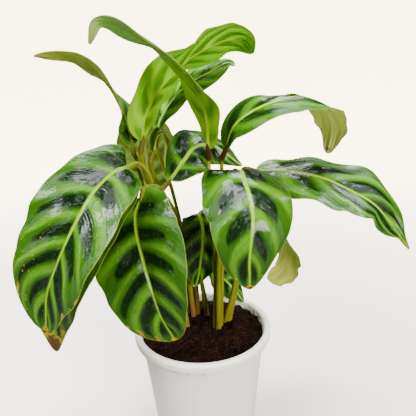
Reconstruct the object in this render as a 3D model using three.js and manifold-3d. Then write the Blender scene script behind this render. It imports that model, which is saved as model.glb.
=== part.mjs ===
// A potted calathea: a white nursery pot, its soil, six shoots and sixteen leaf blades.
// Millimetres, +Z up, origin at the middle of the pot's flat foot, the plant's front towards -Y.
import * as THREE from "three";
import { mergeVertices } from "three/addons/utils/BufferGeometryUtils.js";
import Module from "manifold-3d";

const wasm = await Module();
wasm.setup();

// ---- Driving dimensions ----------------------------------------------------------------------
const POT_HEIGHT = 115;
const RIM_RADIUS = 63.5;
const RIM_DEPTH = 8;
const MOUTH_RADIUS = 57.5;
const BODY_TOP_RADIUS = 58;
const FOOT_RADIUS = 46.6;
const BODY_STEP = 0.6;
const BODY_STEP_BELOW_RIM = 12;
const POT_WALL = 1.8;
const FLOOR_THICKNESS = 2.5;
const ROUND_SIDES = 48;

const SOIL_TOP = 109;
const SOIL_RELIEF = 1.5;
const SOIL_RINGS = 8;
const FOOT_DEPTH = 28;
const HOLE_CLEARANCE = 0.8;
const HOLE_SIDES = 12;
const GAP = 0.7;

const BLADE_THICKNESS = 0.9;
const MIDRIB_DEPTH = 1.2;
const BLADE_BASE_HALF = 1.7;
const BLADE_TIP_HALF = 0.5;
const VEIN_SWEEP = 0.14;
const BLADE_STEPS = 13;
const ACROSS = [-1, -0.62, -0.28, 0, 0.28, 0.62, 1];

const SHEATH_RADIUS = 3;
const STALK_RADIUS = 1.9;
const PULVINUS_RADIUS = 2.3;
const PULVINUS_LENGTH = 12;
const STALK_SIDES = 7;
const STALK_STEPS = 14;

const LEAF = new THREE.MeshStandardMaterial({ color: 0x2f7a1c, roughness: 0.3, metalness: 0 });
const STEM = new THREE.MeshStandardMaterial({ color: 0x9aa02c, roughness: 0.5, metalness: 0 });
const SOIL = new THREE.MeshStandardMaterial({ color: 0x2a1712, roughness: 0.95, metalness: 0 });
const PLASTIC = new THREE.MeshStandardMaterial({ color: 0xe9e6e4, roughness: 0.4, metalness: 0 });

// ---- Leaves ----------------------------------------------------------------------------------
// A row of a leaf is a place on its midrib, the way its upper side faces there, how far both
// halves fold up towards that side, and how far each half bows over to its margin, in degrees.
// halves widens or narrows the half on either side, and point narrows the tip. stalk lists the
// places that its petiole passes from the soil, where it stands at foot, upwards.
const LEAVES = {
  front_left: {
    shoot: "left_front", width: 84, rise: 0.4, taper: 0.48, wave: 1.2, waves: 3.3,
    point: 0.25, halves: [0.95, 0.97],
    rows: [
      [[-56, -5, 268], [0.3, -0.5, 0.8], 8, 10],
      [[-65, -17, 267], [0.1, -0.55, 0.8], 8, 12],
      [[-80, -35, 254], [-0.1, -0.65, 0.7], 12, 16],
      [[-94, -50, 231], [-0.3, -0.78, 0.55], 14, 20],
      [[-107, -58, 205], [-0.42, -0.82, 0.4], 14, 20],
      [[-117, -60, 182], [-0.42, -0.88, 0.2], 14, 16],
      [[-121, -62, 152], [-0.42, -0.9, 0], 10, 10],
    ],
    foot: [-19, 11], stalk: [[-24, 10, 160], [-34, 6, 215], [-38, 7, 248], [-42, 6, 262]],
  },

  under_left: {
    shoot: "left_front", width: 84, rise: 0.42, taper: 0.62, wave: 1.2, waves: 3,
    point: 0.4, halves: [1, 1],
    rows: [
      [[-60, 15, 263], [0.1, -0.7, 0.7], 0, 10],
      [[-68, 7, 267], [0, -0.75, 0.65], 0, 10],
      [[-80, -8, 256], [-0.1, -0.75, 0.6], 3, 15],
      [[-94, -21, 230], [-0.3, -0.75, 0.55], 8, 20],
      [[-109, -32, 200], [-0.4, -0.8, 0.4], 12, 20],
      [[-121, -38, 165], [-0.45, -0.85, 0.2], 14, 15],
      [[-125, -40, 118], [-0.45, -0.85, 0], 10, 10],
    ],
    foot: [-23, 15], stalk: [[-32, 17, 165], [-44, 21, 222], [-50, 25, 245]],
  },

  front_middle: {
    shoot: "left_front", width: 80, rise: 0.42, taper: 0.6, wave: 1, waves: 3,
    point: 0, halves: [1, 1],
    rows: [
      [[-47, -9, 241], [-0.45, -0.6, 0.65], 5, 10],
      [[-50, -20, 232], [-0.45, -0.72, 0.55], 2, 20],
      [[-49, -29, 218], [-0.35, -0.8, 0.5], 5, 22],
      [[-44, -40, 200], [-0.28, -0.9, 0.4], 12, 22],
      [[-38, -48, 178], [-0.28, -0.95, 0.25], 18, 18],
      [[-31, -53, 155], [-0.28, -0.97, 0.1], 18, 14],
      [[-21, -54, 134], [-0.28, -0.97, 0], 10, 10],
    ],
    foot: [-15, 7], stalk: [[-20, 6, 150], [-30, 1, 200], [-38, 2, 237]],
  },

  front_right: {
    shoot: "front", width: 73, rise: 0.43, taper: 0.72, wave: 0.8, waves: 3,
    point: 0, halves: [1, 1],
    rows: [
      [[35, 3, 260], [0.1, -0.1, 1], 5, 10],
      [[37, -8, 263], [0.15, -0.35, 0.95], -7, 10],
      [[39, -26, 257], [0.15, -0.55, 0.85], -10, 15],
      [[41, -42, 249], [0.08, -0.65, 0.75], -14, 20],
      [[42, -56, 237], [0.1, -0.85, 0.5], -20, 25],
      [[40, -62, 221], [0.1, -0.97, 0.15], -18, 25],
      [[38.5, -63, 205], [0.1, -1, 0], -15, 20],
      [[39, -60, 181], [0.1, -1, -0.1], -8, 10],
    ],
    foot: [15, 1], stalk: [[17, 3, 178], [24, 12, 225], [31, 16, 250]],
  },

  right: {
    shoot: "right", width: 66, rise: 0.48, taper: 0.72, wave: 2.4, waves: 3.4,
    point: 0.4, halves: [1, 1],
    rows: [
      [[52, 16, 257], [-0.1, -0.25, 0.95], 5, 5],
      [[77, 6, 258], [0, -0.35, 0.95], -8, 15],
      [[102, -4, 254], [0.13, -0.4, 0.9], -5, 20],
      [[124, -12, 245], [0.25, -0.48, 0.83], 5, 15],
      [[145, -18, 233], [0.3, -0.56, 0.77], 8, 15],
      [[160, -22, 216], [0.5, -0.58, 0.6], 8, 15],
      [[175, -26, 195], [0.6, -0.55, 0.55], 5, 10],
    ],
    foot: [22, 11], stalk: [[32, 12, 150], [38, 18, 200], [37, 21, 240]],
  },

  upper_right: {
    shoot: "front", width: 52, rise: 0.52, taper: 0.58, wave: 1.2, waves: 3,
    point: 0.3, halves: [1, 1],
    rows: [
      [[26, 8, 279], [-0.8, -0.4, 0.3], 15, 5],
      [[33, 4, 297], [-0.85, -0.4, 0.45], 8, 10],
      [[46, -3, 309], [-0.6, -0.35, 0.75], 0, 15],
      [[64, -6, 317], [-0.15, -0.25, 0.95], -8, 15],
      [[87, -3, 320], [0.15, -0.12, 0.95], -8, 15],
      [[104, 4, 311], [0.6, 0.2, 0.7], 0, 10],
      [[116, 11, 292], [0.8, 0.55, 0.1], 0, 10],
      [[114, 14, 270], [0.75, 0.65, -0.2], 0, 10],
    ],
    foot: [17, 5], stalk: [[20, 8, 178], [21, 12, 225], [22, 12, 262]],
  },

  tall: {
    shoot: "front", width: 46, rise: 0.5, taper: 0.55, wave: 1.2, waves: 3.5,
    point: 0.6, halves: [1, 0.8],
    rows: [
      [[11, 4, 280], [0.85, 0.5, 0.1], 15, 5],
      [[11, -2, 300], [0.75, 0.6, 0.2], 5, 10],
      [[8, -12, 318], [0.7, 0.5, 0.4], 0, 10],
      [[-1, -24, 335], [0.68, 0.25, 0.62], 0, 10],
      [[-13, -35, 349], [0.65, 0.1, 0.7], 0, 10],
      [[-25, -43, 360], [0.5, 0.14, 0.8], -3, 10],
      [[-44, -49, 372], [0.2, 0.22, 0.9], -5, 10],
      [[-59, -51, 375], [-0.2, 0.42, 0.85], 0, 10],
      [[-66, -52, 362], [-0.7, 0.5, 0.5], 0, 5],
    ],
    foot: [12, 5], stalk: [[14, 7, 178], [12, 7, 225], [11, 5, 258]],
  },

  upper_left: {
    shoot: "left_back", width: 38, rise: 0.5, taper: 0.7, wave: 1, waves: 3,
    point: 0.3, halves: [1, 1],
    rows: [
      [[-54, 15, 283], [0.75, -0.6, 0.3], 12, 5],
      [[-56, 8, 303], [0.75, -0.5, 0.4], 8, 10],
      [[-60, 1, 321], [0.75, 0, 0.6], 0, 10],
      [[-66, -6, 335], [0.6, 0.15, 0.75], 0, 10],
      [[-78, -12, 348], [0.35, 0.3, 0.85], 0, 10],
      [[-92, -16, 356], [0.15, 0.37, 0.9], 0, 10],
      [[-115, -20, 357], [-0.1, 0.45, 0.9], 0, 5],
    ],
    foot: [-25, 28], stalk: [[-30, 32, 170], [-38, 38, 222], [-42, 37, 250]],
  },

  top: {
    shoot: "left_back", width: 72, rise: 0.5, taper: 0.62, wave: 1.6, waves: 3.5,
    point: 0, halves: [1, 1],
    rows: [
      [[-45, 12, 287], [-0.9, 0.3, 0.2], 10, 5],
      [[-42, 15, 306], [-0.9, 0.35, 0.3], 6, 10],
      [[-29, 23, 328], [-0.8, 0.35, 0.5], 5, 15],
      [[-10, 34, 346], [-0.6, 0.22, 0.7], 0, 15],
      [[2, 40, 355], [-0.4, 0.24, 0.8], 0, 15],
      [[28, 47, 366], [-0.15, 0.5, 0.85], 0, 10],
      [[45, 49, 365], [0.2, 0.45, 0.8], 0, 10],
      [[54, 48, 355], [0.5, 0.5, 0.7], 0, 5],
    ],
    foot: [-21, 26], stalk: [[-26, 24, 165], [-38, 19, 228], [-45, 16, 256]],
  },

  behind_top: {
    shoot: "middle", width: 54, rise: 0.5, taper: 0.7, wave: 1, waves: 3,
    point: 0.4, halves: [1, 1],
    rows: [
      [[-35, 52, 288], [-0.8, -0.35, 0.3], 5, 5],
      [[-32, 54, 300], [-0.75, -0.35, 0.5], 3, 5],
      [[-16, 60, 321], [-0.6, -0.35, 0.7], 0, 10],
      [[0, 64, 333], [-0.45, -0.42, 0.8], 0, 10],
      [[17, 66, 341], [-0.3, -0.52, 0.8], 0, 10],
      [[32, 68, 348], [-0.2, -0.5, 0.85], 0, 10],
      [[39, 68, 345], [0, -0.5, 0.85], 0, 5],
    ],
    foot: [-8, 32], stalk: [[-15, 38, 180], [-25, 44, 235], [-34, 48, 264]],
  },

  small_dark: {
    shoot: "middle", width: 42, rise: 0.48, taper: 0.8, wave: 0.8, waves: 2.5,
    point: 0.3, halves: [1, 1],
    rows: [
      [[-22, -6, 256], [-0.4, -0.5, 0.7], -10, 5],
      [[-16, 0, 263], [-0.35, -0.55, 0.77], -12, 10],
      [[-9, 8, 271], [-0.05, -0.7, 0.7], -15, 10],
      [[-2, 17, 278], [0.25, -0.8, 0.5], -13, 10],
      [[8, 25, 280], [0.4, -0.7, 0.6], -20, 10],
      [[19, 30, 276], [0.5, -0.7, 0.5], -25, 10],
      [[42, 35, 257], [0.5, -0.8, 0.3], -20, 5],
    ],
    foot: [-9, 24], stalk: [[-13, 22, 160], [-18, 14, 210], [-24, -2, 236]],
  },

  hanging: {
    shoot: "middle", width: 46, rise: 0.42, taper: 0.66, wave: 1, waves: 2.5,
    point: 0.3, halves: [1, 1],
    rows: [
      [[-4, 23, 213], [0.3, -0.4, 0.85], 0, 5],
      [[0, 18, 218], [0.4, -0.6, 0.7], 0, 10],
      [[3, 14, 208], [0.4, -0.9, 0.25], 0, 15],
      [[3, 11, 195], [0.4, -0.9, 0.15], 0, 15],
      [[1, 10, 178], [0.4, -0.9, 0.1], 0, 15],
      [[-1, 10, 165], [0.4, -0.9, 0.1], 0, 15],
      [[-5, 12, 148], [0.4, -0.9, 0], 0, 10],
    ],
    foot: [-5, 28], stalk: [[-6, 33, 150], [-9, 35, 190]],
  },

  lower_right: {
    shoot: "right", width: 42, rise: 0.55, taper: 0.5, wave: 1.2, waves: 2.5,
    point: 0, halves: [1, 0.6],
    rows: [
      [[59, 28, 221], [0.3, -0.3, 0.9], 5, 5],
      [[71, 34, 210], [0.6, -0.25, 0.7], 0, 10],
      [[79, 40, 195], [0.9, -0.15, 0.4], 0, 10],
      [[84, 42, 179], [0.93, 0.1, 0.2], 0, 10],
      [[86, 42, 163], [0.8, 0.5, -0.1], 0, 10],
      [[81, 42, 147], [0.6, 0.7, -0.4], 0, 10],
      [[67, 42, 137], [0.4, 0.7, -0.6], 0, 5],
    ],
    foot: [26, 15], stalk: [[35, 19, 150], [44, 26, 195], [47, 26, 222]],
  },

  back: {
    shoot: "left_back", width: 62, rise: 0.45, taper: 0.5, wave: 1, waves: 2.5,
    point: 0, halves: [1, 1],
    rows: [
      [[-45, 56, 231], [0, 0.9, 0.2], 8, 5],
      [[-49, 68, 255], [0, 0.9, 0.35], 5, 10],
      [[-52, 78, 279], [0, 0.9, 0.35], 5, 15],
      [[-53, 86, 305], [0, 0.9, 0.3], 5, 10],
    ],
    foot: [-23, 32], stalk: [[-30, 41, 180], [-38, 48, 212]],
  },

  small_upright: {
    shoot: "middle", width: 15, rise: 0.5, taper: 0.8, wave: 0.4, waves: 2,
    point: 0, halves: [1, 1],
    rows: [
      [[-37, 17, 277], [-0.8, -0.5, 0.2], 20, 5],
      [[-34.5, 20, 288], [-0.7, -0.5, 0.5], 15, 5],
      [[-29.5, 25, 293], [0.2, -0.3, 0.9], 5, 10],
      [[-26, 29, 288], [0.8, 0.3, 0.4], 0, 10],
      [[-25, 32, 274], [0.85, 0.5, 0.1], 0, 10],
      [[-27, 33, 257], [0.85, 0.5, 0], 0, 10],
      [[-27, 33, 242], [0.85, 0.5, 0], 0, 5],
    ],
    foot: [-12, 28], stalk: [[-17, 28, 160], [-29, 23, 215], [-36, 18, 248]],
  },

  low_back: {
    shoot: "low", width: 40, rise: 0.5, taper: 0.8, wave: 0.8, waves: 2,
    point: 0.3, halves: [1, 1],
    rows: [
      [[3, 30, 164], [0.3, -0.3, 0.9], 5, 5],
      [[12, 34, 154], [0.5, -0.4, 0.75], 0, 10],
      [[24, 37, 140], [0.6, -0.5, 0.6], 0, 10],
      [[34, 36, 128], [0.6, -0.5, 0.6], 0, 10],
      [[42, 34, 116.5], [0.6, -0.5, 0.6], 0, 5],
    ],
    foot: [4, 24], stalk: [[1, 23, 140], [-3, 25, 160]],
  },
};

// ---- Shared shapes ---------------------------------------------------------------------------
const radians = THREE.MathUtils.degToRad;

function splineOf(triples) {
  const points = triples.map((triple) => new THREE.Vector3(...triple));
  return new THREE.CatmullRomCurve3(points, false, "catmullrom", 0.5);
}

function meshGeometry(points, triangles) {
  const geometry = new THREE.BufferGeometry();
  const flat = points.flatMap((point) => point.toArray());
  geometry.setAttribute("position", new THREE.Float32BufferAttribute(flat, 3));
  geometry.setIndex(triangles.flat());
  return geometry;
}

function toSolid(geometry) {
  const bare = geometry.clone();
  bare.deleteAttribute("normal");
  bare.deleteAttribute("uv");
  const merged = mergeVertices(bare, 1e-4);
  const mesh = new wasm.Mesh({
    numProp: 3,
    vertProperties: new Float32Array(merged.attributes.position.array),
    triVerts: new Uint32Array(merged.index.array),
  });
  return new wasm.Manifold(mesh);
}

function toGeometry(manifold) {
  const mesh = manifold.getMesh();
  const geometry = new THREE.BufferGeometry();
  geometry.setAttribute("position", new THREE.BufferAttribute(mesh.vertProperties, 3));
  geometry.setIndex(new THREE.BufferAttribute(mesh.triVerts, 1));
  return geometry;
}

// ---- One blade -------------------------------------------------------------------------------
// The midrib's place and directions at a fraction of its length, with the fold and bow there.
function frameOf(leaf) {
  const path = splineOf(leaf.rows.map(([place]) => place));
  const faces = splineOf(leaf.rows.map(([, face]) => face));
  const bends = splineOf(leaf.rows.map(([, , fold, bow]) => [fold, bow, 0]));
  return (along) => {
    const t = path.getUtoTmapping(along);
    const ahead = path.getTangent(t);
    const up = faces.getPoint(t);
    up.addScaledVector(ahead, -up.dot(ahead)).normalize();
    const bend = bends.getPoint(t);
    return {
      place: path.getPoint(t),
      ahead,
      up,
      side: ahead.clone().cross(up),
      fold: radians(bend.x),
      bow: radians(bend.y),
    };
  };
}

function halfWidth(leaf, along, sideIndex) {
  const widest = leaf.rise / (leaf.rise + leaf.taper);
  const peak = widest ** leaf.rise * (1 - widest) ** leaf.taper;
  const point = 1 - leaf.point * THREE.MathUtils.smoothstep(along, 0.72, 1);
  const shape = (point * along ** leaf.rise * (1 - along) ** leaf.taper) / peak;
  const stub = THREE.MathUtils.lerp(BLADE_BASE_HALF, BLADE_TIP_HALF, along);
  return stub + ((leaf.width / 2) * leaf.halves[sideIndex] - stub) * shape;
}

// A point of the blade's middle surface: row runs from base to tip along the side veins' feet,
// across from -1 at the left margin to 1 at the right one.
function bladePoint(leaf, frameAt, row, across) {
  const reach = Math.abs(across);
  const along = row + 4 * VEIN_SWEEP * reach ** 1.5 * row * (1 - row);
  const { place, up, side, fold, bow } = frameAt(along);
  const sideIndex = across > 0 ? 0 : 1;
  const half = halfWidth(leaf, along, sideIndex);
  const start = fold + bow / 2;
  const end = start - bow * reach;
  const out = (Math.sin(start) - Math.sin(end)) / bow;
  const lift = (Math.cos(end) - Math.cos(start)) / bow;
  const phase = across > 0 ? 0 : 1.9;
  const ends = Math.min(1, 6 * along, 6 * (1 - along));
  const ripple = leaf.wave * reach ** 2 * ends * Math.sin(2 * Math.PI * leaf.waves * along + phase);
  return place
    .addScaledVector(side, Math.sign(across) * half * out)
    .addScaledVector(up, half * lift + ripple);
}

function bladeNormal(leaf, frameAt, row, across) {
  const step = 0.01;
  const behind = bladePoint(leaf, frameAt, Math.max(0, row - step), across);
  const before = bladePoint(leaf, frameAt, Math.min(1, row + step), across);
  const left = bladePoint(leaf, frameAt, row, Math.max(-1, across - step));
  const right = bladePoint(leaf, frameAt, row, Math.min(1, across + step));
  return right.sub(left).cross(before.sub(behind)).normalize();
}

// A thin closed shell, split into triangles alike on both faces, with a rib under its middle.
function bladeGeometry(leaf) {
  const frameAt = frameOf(leaf);
  const upper = [];
  const lower = [];
  for (let step = 0; step <= BLADE_STEPS; step += 1) {
    const even = step / BLADE_STEPS;
    const row = even - (0.5 * Math.sin(2 * Math.PI * even)) / (2 * Math.PI);
    for (const across of ACROSS) {
      const middle = bladePoint(leaf, frameAt, row, across);
      const normal = bladeNormal(leaf, frameAt, row, across);
      const rib = across === 0 ? MIDRIB_DEPTH * (1 - 0.7 * row) : 0;
      upper.push(middle.clone().addScaledVector(normal, BLADE_THICKNESS / 2));
      lower.push(middle.addScaledVector(normal, -BLADE_THICKNESS / 2 - rib));
    }
  }
  const columns = ACROSS.length;
  const under = upper.length;
  const triangles = [];
  const rim = (a, b) => triangles.push([b, a, a + under], [b, a + under, b + under]);
  for (let step = 0; step < BLADE_STEPS; step += 1) {
    for (let column = 0; column < columns - 1; column += 1) {
      const a = step * columns + column;
      const b = a + 1;
      const c = b + columns;
      const d = a + columns;
      triangles.push([a, b, c], [a, c, d]);
      triangles.push([a + under, c + under, b + under], [a + under, d + under, c + under]);
    }
    rim((step + 1) * columns, step * columns);
    rim((step + 1) * columns - 1, (step + 2) * columns - 1);
  }
  for (let column = 0; column < columns - 1; column += 1) {
    rim(column, column + 1);
    rim(BLADE_STEPS * columns + column + 1, BLADE_STEPS * columns + column);
  }
  return meshGeometry([...upper, ...lower], triangles);
}

// ---- Petioles and shoots ---------------------------------------------------------------------
function stalkPath(leaf) {
  const { place, ahead } = frameOf(leaf)(0);
  const [x, y] = leaf.foot;
  const places = [
    [x, y, SOIL_TOP - FOOT_DEPTH],
    [x, y, SOIL_TOP - FOOT_DEPTH / 2],
    [x, y, SOIL_TOP],
    ...leaf.stalk,
    place.clone().addScaledVector(ahead, -PULVINUS_LENGTH).toArray(),
    place.clone().addScaledVector(ahead, -GAP).toArray(),
  ];
  return splineOf(places);
}

function stalkRadius(fromFoot, fromBlade) {
  const sheath = THREE.MathUtils.lerp(SHEATH_RADIUS, STALK_RADIUS, Math.min(1, fromFoot / 110));
  const swell = THREE.MathUtils.smoothstep(PULVINUS_LENGTH - fromBlade, 0, 3);
  return THREE.MathUtils.lerp(sheath, PULVINUS_RADIUS, swell) - (fromBlade < 1 ? 0.5 : 0);
}

function stalkSolid(leaf) {
  const path = stalkPath(leaf);
  const length = path.getLength();
  const side = new THREE.Vector3(1, 0, 0);
  const points = [];
  const triangles = [];
  const stops = [];
  const plain = length - PULVINUS_LENGTH - 2;
  for (let step = 0; step <= STALK_STEPS; step += 1) stops.push((plain * step) / STALK_STEPS);
  stops.push(length - PULVINUS_LENGTH + 2, length - 6, length - 2, length);
  for (const stop of stops) {
    const centre = path.getPointAt(Math.min(1, stop / length));
    const ahead = path.getTangentAt(Math.min(1, stop / length));
    side.addScaledVector(ahead, -side.dot(ahead)).normalize();
    const other = ahead.clone().cross(side);
    const radius = stalkRadius(stop, length - stop);
    for (let corner = 0; corner < STALK_SIDES; corner += 1) {
      const angle = (2 * Math.PI * corner) / STALK_SIDES;
      points.push(
        centre.clone()
          .addScaledVector(side, radius * Math.cos(angle))
          .addScaledVector(other, radius * Math.sin(angle)),
      );
    }
  }
  const last = (stops.length - 1) * STALK_SIDES;
  for (let corner = 0; corner < STALK_SIDES; corner += 1) {
    const next = (corner + 1) % STALK_SIDES;
    for (let ring = 0; ring < last; ring += STALK_SIDES) {
      const a = ring + corner;
      const b = ring + next;
      triangles.push([a, b, b + STALK_SIDES], [a, b + STALK_SIDES, a + STALK_SIDES]);
    }
    if (corner > 0 && next > 0) {
      triangles.push([0, next, corner], [last, last + corner, last + next]);
    }
  }
  return toSolid(meshGeometry(points, triangles));
}

// ---- Pot and soil ----------------------------------------------------------------------------
function potGeometry() {
  const underRim = POT_HEIGHT - RIM_DEPTH;
  const stepHeight = underRim - BODY_STEP_BELOW_RIM;
  const wallAt = (height) => THREE.MathUtils.lerp(FOOT_RADIUS, BODY_TOP_RADIUS, height / underRim);
  const profile = [
    [0, 0],
    [FOOT_RADIUS - 1, 0],
    [FOOT_RADIUS, 1],
    [wallAt(stepHeight) - BODY_STEP, stepHeight - 1],
    [wallAt(stepHeight), stepHeight],
    [BODY_TOP_RADIUS, underRim],
    [RIM_RADIUS - 1, underRim],
    [RIM_RADIUS - 0.3, underRim + 0.7],
    [RIM_RADIUS, POT_HEIGHT - 1.8],
    [RIM_RADIUS - 0.6, POT_HEIGHT - 0.5],
    [RIM_RADIUS - 1.8, POT_HEIGHT],
    [MOUTH_RADIUS + 1.4, POT_HEIGHT],
    [MOUTH_RADIUS + 0.4, POT_HEIGHT - 0.4],
    [MOUTH_RADIUS, POT_HEIGHT - 1.4],
    [innerRadius(underRim), underRim],
    [innerRadius(FLOOR_THICKNESS), FLOOR_THICKNESS],
    [0, FLOOR_THICKNESS],
  ];
  const points = profile.map(([radius, height]) => new THREE.Vector2(radius, height));
  return new THREE.LatheGeometry(points, ROUND_SIDES).rotateX(Math.PI / 2);
}

function innerRadius(height) {
  const share = height / (POT_HEIGHT - RIM_DEPTH);
  return THREE.MathUtils.lerp(FOOT_RADIUS, BODY_TOP_RADIUS, share) - POT_WALL;
}

function soilHeight(x, y) {
  const lumps = Math.sin(0.21 * x + 1.3) * Math.cos(0.17 * y) + 0.6 * Math.sin(0.43 * x - 0.37 * y);
  const mound = 3 * Math.exp(-((x - 4) ** 2 + (y - 40) ** 2) / 120);
  return SOIL_TOP + 0.6 * SOIL_RELIEF * lumps + mound;
}

function soilGeometry() {
  const top = innerRadius(SOIL_TOP - 4) - GAP;
  const bottom = innerRadius(FLOOR_THICKNESS) - GAP;
  const points = [new THREE.Vector3(0, 0, soilHeight(0, 0))];
  const triangles = [];
  for (let ring = 1; ring <= SOIL_RINGS + 1; ring += 1) {
    const floor = ring > SOIL_RINGS;
    const radius = floor ? bottom : (top * ring) / SOIL_RINGS;
    for (let side = 0; side < ROUND_SIDES; side += 1) {
      const angle = (2 * Math.PI * side) / ROUND_SIDES;
      const x = radius * Math.sin(angle);
      const y = -radius * Math.cos(angle);
      const edge = ring === SOIL_RINGS ? SOIL_TOP - 4 : soilHeight(x, y);
      points.push(new THREE.Vector3(x, y, floor ? FLOOR_THICKNESS + GAP : edge));
    }
  }
  const last = points.length;
  points.push(new THREE.Vector3(0, 0, FLOOR_THICKNESS + GAP));
  for (let side = 0; side < ROUND_SIDES; side += 1) {
    const next = (side + 1) % ROUND_SIDES;
    triangles.push([0, 1 + side, 1 + next]);
    for (let ring = 0; ring < SOIL_RINGS; ring += 1) {
      const a = 1 + ring * ROUND_SIDES + side;
      const b = 1 + ring * ROUND_SIDES + next;
      triangles.push([a, a + ROUND_SIDES, b + ROUND_SIDES], [a, b + ROUND_SIDES, b]);
    }
    const base = 1 + SOIL_RINGS * ROUND_SIDES;
    triangles.push([last, base + next, base + side]);
  }
  return meshGeometry(points, triangles);
}

// Plain holes for the feet of the petioles.
function boredSoil() {
  let soil = toSolid(soilGeometry());
  for (const { foot } of Object.values(LEAVES)) {
    const radius = SHEATH_RADIUS + HOLE_CLEARANCE;
    const height = FOOT_DEPTH + 12;
    const hole = new THREE.CylinderGeometry(radius, radius, height, HOLE_SIDES);
    hole.rotateX(Math.PI / 2);
    hole.translate(foot[0], foot[1], SOIL_TOP - FOOT_DEPTH - GAP + height / 2);
    soil = soil.subtract(toSolid(hole));
  }
  return toGeometry(soil);
}

// ---- Assembly --------------------------------------------------------------------------------
const plant = new THREE.Group();

function addPiece(name, geometry, material) {
  const mesh = new THREE.Mesh(geometry, material);
  mesh.name = name;
  plant.add(mesh);
}

addPiece("pot", potGeometry(), PLASTIC);
addPiece("soil", boredSoil(), SOIL);

const shoots = new Map();
for (const leaf of Object.values(LEAVES)) {
  const stalk = stalkSolid(leaf);
  const grown = shoots.get(leaf.shoot);
  shoots.set(leaf.shoot, grown ? grown.add(stalk) : stalk);
}
for (const [name, solid] of shoots) addPiece(`shoot_${name}`, toGeometry(solid), STEM);
for (const [name, leaf] of Object.entries(LEAVES)) addPiece(`blade_${name}`, bladeGeometry(leaf), LEAF);

export default plant;
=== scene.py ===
"""Dresses the potted calathea: a nursery pot, its compost, six shoots and sixteen striped blades.

Lengths are metres, +Z is up and the plant's front is towards -Y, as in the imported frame.
"""

import logging
import math
from dataclasses import dataclass, field
from enum import Enum

import bpy
import numpy as np
from mathutils import Euler, Matrix, Vector, noise


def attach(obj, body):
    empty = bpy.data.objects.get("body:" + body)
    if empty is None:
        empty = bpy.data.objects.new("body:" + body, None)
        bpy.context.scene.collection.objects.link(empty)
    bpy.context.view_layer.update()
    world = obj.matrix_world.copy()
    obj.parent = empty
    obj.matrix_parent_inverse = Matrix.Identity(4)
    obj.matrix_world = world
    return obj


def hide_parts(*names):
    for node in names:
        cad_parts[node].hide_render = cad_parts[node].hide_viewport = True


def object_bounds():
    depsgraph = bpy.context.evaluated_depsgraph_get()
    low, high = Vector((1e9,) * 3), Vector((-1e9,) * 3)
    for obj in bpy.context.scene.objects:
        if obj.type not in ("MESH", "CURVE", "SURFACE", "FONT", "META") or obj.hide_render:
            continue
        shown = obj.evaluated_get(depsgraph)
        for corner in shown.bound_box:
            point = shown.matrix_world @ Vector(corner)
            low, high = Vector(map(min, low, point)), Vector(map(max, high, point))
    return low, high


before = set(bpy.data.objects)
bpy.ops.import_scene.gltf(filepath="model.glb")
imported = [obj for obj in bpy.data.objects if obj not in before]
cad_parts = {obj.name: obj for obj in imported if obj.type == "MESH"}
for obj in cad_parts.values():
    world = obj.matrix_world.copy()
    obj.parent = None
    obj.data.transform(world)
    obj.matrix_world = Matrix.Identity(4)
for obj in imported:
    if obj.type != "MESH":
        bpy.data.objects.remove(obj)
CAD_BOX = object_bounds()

LOG = logging.getLogger("potted_calathea")
Colour = tuple[float, float, float]
Place = tuple[float, float, float]
Span = tuple[float, float]
Piece = bpy.types.Object
Socket = bpy.types.NodeSocket
Array = np.ndarray
SEED = 41
SOIL_TOP = 0.109


class Age(Enum):
    """How a leaf has aged, which sets its greens; one set is darker and duller to paint the shade on the back leaf
    behind the stems.
    """

    MATURE = "mature"
    FRESH = "fresh"
    OLD = "old"
    TENDER = "tender"
    PALE = "pale"
    OLIVE = "olive"


@dataclass(frozen=True)
class Row:
    """One row of a leaf: its place on the midrib, the way it faces there, its fold and its bow in degrees."""

    place: Place
    face: Place
    fold: float
    bow: float


@dataclass(frozen=True)
class Scorch:
    """A dried place on a blade: where it is along and across, how far it spreads and how brown it is."""

    along: float
    across: float
    spread: float
    brown: float


@dataclass(frozen=True)
class Notch:
    """A ragged place in a margin: how far along, on which half, how deep as a share and how long."""

    along: float
    half: int
    deep: float
    spread: float


@dataclass(frozen=True)
class Leaf:
    """One leaf as the part's source places it, with the age and the blemishes of the real one."""

    name: str
    shoot: str
    foot: Span
    stalk: tuple[Place, ...]
    rows: tuple[Row, ...]
    width: float
    taper: float
    rise: float = 0.5
    wave: float = 0.001
    waves: float = 3
    bands: int = 5
    point: float = 0.0
    halves: Span = (1.0, 1.0)
    sweep: float = 0.26
    lobes: Span = (0.0, 0.0)
    ragged: float = 0.0
    age: Age = Age.MATURE
    joint_brown: float = 0.15
    specks: float = 0.0
    notches: tuple[Notch, ...] = ()
    scorches: tuple[Scorch, ...] = ()


def grow(name: str, shoot: str, foot: tuple, stalk: tuple, rows: tuple, **traits) -> Leaf:
    """Places a leaf whose foot, stalk and rows are given in millimetres.

    Args:
        name: the leaf's name.
        shoot: the shoot that its petiole belongs to.
        foot: where the petiole leaves the soil, as x and y.
        stalk: the places that the petiole passes through.
        rows: the midrib's places, each with the way it faces, its fold and its bow.
        traits: the leaf's other fields, with lengths in metres.

    Returns:
        The leaf.
    """
    foot, *stalk = (tuple(length / 1000 for length in place) for place in (foot, *stalk))
    rows = tuple(Row(tuple(length / 1000 for length in row[:3]), row[3:6], *row[6:]) for row in rows)
    for blemish, kind in (("notches", Notch), ("scorches", Scorch)):
        traits[blemish] = tuple(kind(*facts) for facts in traits.get(blemish, ()))
    return Leaf(name, shoot, foot, tuple(stalk), rows, **traits)


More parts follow.
